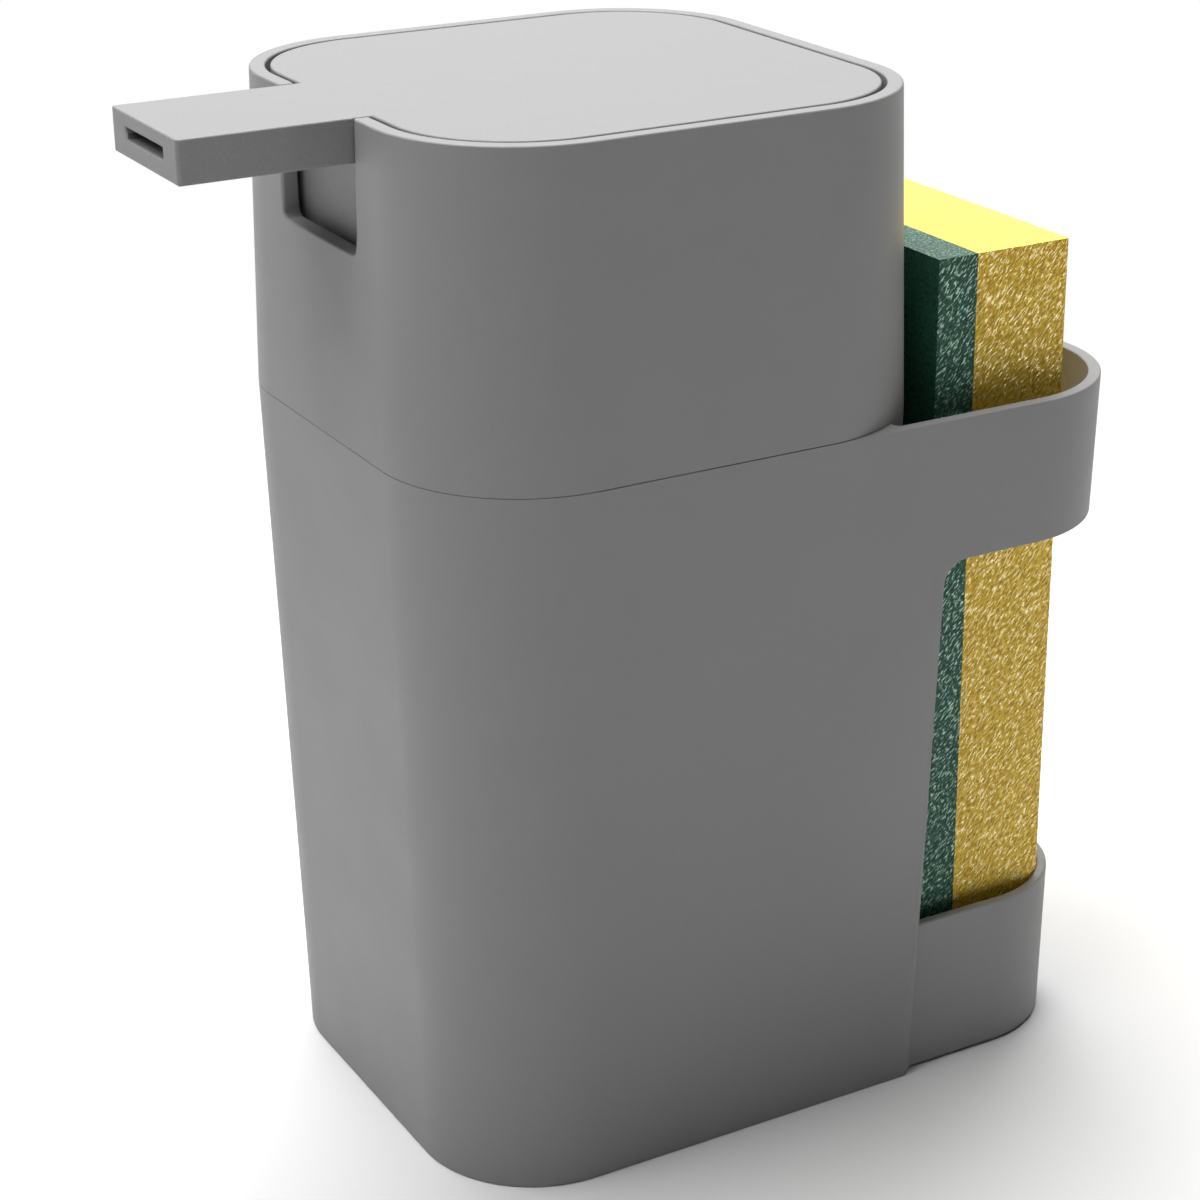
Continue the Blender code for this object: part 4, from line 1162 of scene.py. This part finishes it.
# %% Make the two layers
FOOT_RADIUS = 0.0046
RIM_RADIUS = 0.0027
FREE_RADIUS = 0.0003
FREE_ABOVE = CUP_HEIGHT + 0.0015
SPONGE_SHARP_TURN = radians(50)
pad_low, pad_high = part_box("scouring_pad")
foam_front = Vector((foam_low.x, pad_high.y, foam_low.z))
print("glue gap filled here, in mm", round(1000 * (foam_low.y - pad_high.y), 2))


def square_edge(height):
    """Back edges that stay square all the way up."""
    return 0.0


def squeezed_edge(height):
    """Back edges that the cup squeezes round at the foot, and that spring back above its rim."""
    if height > FREE_ABOVE:
        return FREE_RADIUS
    if height > CUP_HEIGHT:
        share = (height - CUP_HEIGHT) / (FREE_ABOVE - CUP_HEIGHT)
        return RIM_RADIUS + (FREE_RADIUS - RIM_RADIUS) * share
    share = (height - foam_low.z) / (CUP_HEIGHT - foam_low.z)
    return FOOT_RADIUS + (RIM_RADIUS - FOOT_RADIUS) * share


def sponge_layer(name, low, high, front_radius, back_radius, material, cad_node):
    """One layer of the sponge, gridded, rounded and roughened."""
    layer = grid_block(name, low, high, GRID_STEP)
    round_upright_edges(layer, low, high, front_radius, back_radius)
    layer.data.update()
    roughen(layer, low, high)
    layer.data.shade_smooth()
    layer.data.set_sharp_from_angle(angle=SPONGE_SHARP_TURN)
    dress(layer, material, "sponge", cad_node)


sponge_layer(
    "foam_layer",
    foam_front,
    foam_high,
    front_radius=0.0,
    back_radius=squeezed_edge,
    material=foam_material,
    cad_node="sponge_foam",
)
sponge_layer(
    "scouring_layer",
    pad_low,
    pad_high,
    front_radius=FREE_RADIUS,
    back_radius=square_edge,
    material=fibre_material,
    cad_node="scouring_pad",
)

# %% [markdown]
# The pump hides inside, but it comes into view when the head is lifted off. Its cylinder, guide,
# collar, stem, piston and tube are natural polypropylene, a milky white that lets a little light
# in. The gasket and the mouth seal are black rubber, and the spring and the two check balls
# are steel.

# %% Pump materials


def milky_plastic(name):
    """Natural polypropylene: milky, smooth, with faint flow marks."""
    made, tree, shader = new_material(name)
    where = place(tree)
    cloud = spread(tree, speckle(tree, where, scale=160, detail=3.0), 0, 1)
    tint = blend_colours(tree, cloud, (0.70, 0.70, 0.67), (0.80, 0.80, 0.78))
    dullness = spread(tree, speckle(tree, where, scale=900), low=0.28, high=0.40)
    wire(tree, shader, Base_Color=tint, Roughness=dullness)
    shader.inputs["Subsurface Weight"].default_value = 0.25
    shader.inputs["Subsurface Radius"].default_value = (0.002, 0.002, 0.002)
    bump(tree, shader, speckle(tree, where, scale=1500), depth=0.00001, strength=0.4)
    return made


def black_rubber(name):
    """Soft black rubber with a dull bloom."""
    made, tree, shader = new_material(name)
    where = place(tree)
    bloom = spread(tree, speckle(tree, where, scale=500, detail=4.0), 0, 1)
    tint = blend_colours(tree, bloom, (0.025, 0.025, 0.026), (0.055, 0.055, 0.056))
    dullness = spread(tree, bloom, low=0.60, high=0.80, start=0, end=1)
    wire(tree, shader, Base_Color=tint, Roughness=dullness)
    bump(tree, shader, speckle(tree, where, scale=2500), depth=0.00002, strength=0.5)
    return made


def drawn_steel(name):
    """Bright steel with the faint marks of drawing or lapping."""
    made, tree, shader = new_material(name)
    where = place(tree)
    marks = speckle(tree, where, scale=2500, detail=3.0)
    tint = blend_colours(tree, spread(tree, marks, 0, 1), (0.56, 0.56, 0.57), (0.66, 0.66, 0.66))
    dullness = spread(tree, marks, low=0.22, high=0.34)
    wire(tree, shader, Base_Color=tint, Roughness=dullness)
    shader.inputs["Metallic"].default_value = 1.0
    bump(tree, shader, marks, depth=0.000008, strength=0.5)
    return made


milky = milky_plastic("milky_pump_plastic")
rubber = black_rubber("black_rubber")
steel = drawn_steel("bright_steel")
print("pump materials:", milky.name, rubber.name, steel.name)

# %% [markdown]
# The pump's pieces are turned shapes of the right size, so each one is made from a copy of its
# own mesh in the model. The copy is welded, its sharp rims are eased by a hair, and its round
# walls are shaded smooth, which is what a moulded piece looks like from near.

# %% Pump pieces
PUMP_EASE = 0.00012
FINISHES = {
    "pump_cylinder": milky,
    "stem_guide": milky,
    "pump_collar": milky,
    "pump_stem": milky,
    "piston": milky,
    "dip_tube": milky,
    "mouth_seal": rubber,
    "pump_gasket": rubber,
    "outlet_ball": steel,
    "inlet_ball": steel,
}
bodies = frame["record"]["behaviour"]["bodies"]
body_of_node = {name: body for body, names in bodies.items() for name in names}


def pump_ease(middle, direction):
    """The same hair everywhere."""
    return PUMP_EASE


def pump_piece(name, finish):
    """An eased and smooth copy of one of the model's pump pieces."""
    shape = bmesh.new()
    shape.from_mesh(frame["nodes"][name].data)
    bmesh.ops.remove_doubles(shape, verts=shape.verts, dist=TINY)
    piece = new_object(name + "_piece", shape)
    ease_edges(piece, pump_ease, 2)
    even_shading(piece)
    dress(piece, finish, body_of_node[name], name)


for name, finish in FINISHES.items():
    pump_piece(name, finish)

# %% [markdown]
# The return spring is wound from round steel wire. Its first and last turns lie closed, so that
# it stands flat on the chamber's floor and under the stem, and the turns between are open. The
# wire is a ring of points that follows the helix.

# %% Return spring
WIRE_RADIUS = 0.0005
WIRE_SIDES = 12
SPRING_TURNS = 8
TURN_STEPS = 40
CLOSED_PITCH_SHARE = 2.2
CLOSED_PITCH = CLOSED_PITCH_SHARE * WIRE_RADIUS
spring_low, spring_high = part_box("return_spring")
COIL_RADIUS = (spring_high.x - spring_low.x) / 2 - WIRE_RADIUS


def coil_height(turn):
    """Height of the wire's middle after so many turns."""
    low = spring_low.z + WIRE_RADIUS
    high = spring_high.z - WIRE_RADIUS
    if turn <= 1:
        return low + CLOSED_PITCH * turn
    if turn >= SPRING_TURNS - 1:
        return high - CLOSED_PITCH * (SPRING_TURNS - turn)
    share = (turn - 1) / (SPRING_TURNS - 2)
    return low + CLOSED_PITCH + (high - low - 2 * CLOSED_PITCH) * share


def make_spring():
    """The wire as rings of points round the helix, closed at both ends."""
    shape = bmesh.new()
    rings = []
    for step in range(SPRING_TURNS * TURN_STEPS + 1):
        turn = step / TURN_STEPS
        angle = 2 * pi * turn
        outward = Vector((cos(angle), sin(angle), 0))
        middle = outward * COIL_RADIUS + Vector((0, AXIS_Y, coil_height(turn)))
        ring = []
        for side in range(WIRE_SIDES):
            round_wire = 2 * pi * side / WIRE_SIDES
            offset = outward * cos(round_wire) + Vector((0, 0, sin(round_wire)))
            ring.append(shape.verts.new(middle + offset * WIRE_RADIUS))
        rings.append(ring)
    skin(shape, rings)
    return new_object("return_spring_wire", shape)


spring = make_spring()
even_shading(spring)
dress(spring, steel, "head", "return_spring")
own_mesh(spring)

# %% [markdown]
# The floor is a plain pale sheet. Near the object it is a matte surface that takes the soft
# shadow, and further out it turns into even white, so that no edge of the floor shows. The
# change follows the distance from the middle of the floor, so it is the same from every side.

# %% Floor
FLOOR_REACH = 3.0
FLOOR_PALE = (0.95, 0.95, 0.95)
FLOOR_BOUNCE = (0.80, 0.80, 0.80)
SHADOW_REACH = 0.14
WHITE_FROM = 0.42


def floor_material(name):
    """Matte near the object, and even white further out."""
    made, tree, shader = new_material(name)
    where = place(tree)
    rays = node(tree, "LightPath").outputs
    tint = blend_colours(tree, rays["Is Camera Ray"], FLOOR_BOUNCE, FLOOR_PALE)
    wire(tree, shader, Base_Color=tint)
    shader.inputs["Roughness"].default_value = 0.9
    shader.inputs["Specular IOR Level"].default_value = 0.2
    bump(tree, shader, speckle(tree, where, scale=300), depth=0.0001, strength=0.1)
    away = node(tree, "VectorMath", {"operation": "LENGTH"}, Vector=where)
    fade = spread(tree, away.outputs["Value"], 0, 1, SHADOW_REACH, WHITE_FROM)
    seen_or_mirrored = combine(tree, "MAXIMUM", rays["Is Camera Ray"], rays["Is Glossy Ray"])
    whiteness = combine(tree, "MULTIPLY", fade, seen_or_mirrored)
    glow = node(tree, "Emission", {"Color": (1, 1, 1, 1), "Strength": 1.0})
    surface = mix_shaders(tree, whiteness, shader, glow)
    wire(tree, tree.nodes["Material Output"], Surface=surface)
    return made


sheet = bmesh.new()
for x, y in ((-1, -1), (1, -1), (1, 1), (-1, 1)):
    sheet.verts.new((x * FLOOR_REACH, y * FLOOR_REACH, 0))
sheet.faces.new(sheet.verts[:])
floor = new_object("pale_floor", sheet)
floor.data.materials.append(floor_material("pale_floor"))
floor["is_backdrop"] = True
print("floor is", 2 * FLOOR_REACH, "m wide")

# %% [markdown]
# The last cell measures the dressed object and writes its box beside the model's own box. The
# two should agree to a fraction of a millimetre.

# %% Check the size and finish
dressed_low, dressed_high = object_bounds()
grown = [round(1000 * (b - a), 2) for a, b in zip(model_high, dressed_high)]
print("dressed box is higher than the model's by", grown, "mm")
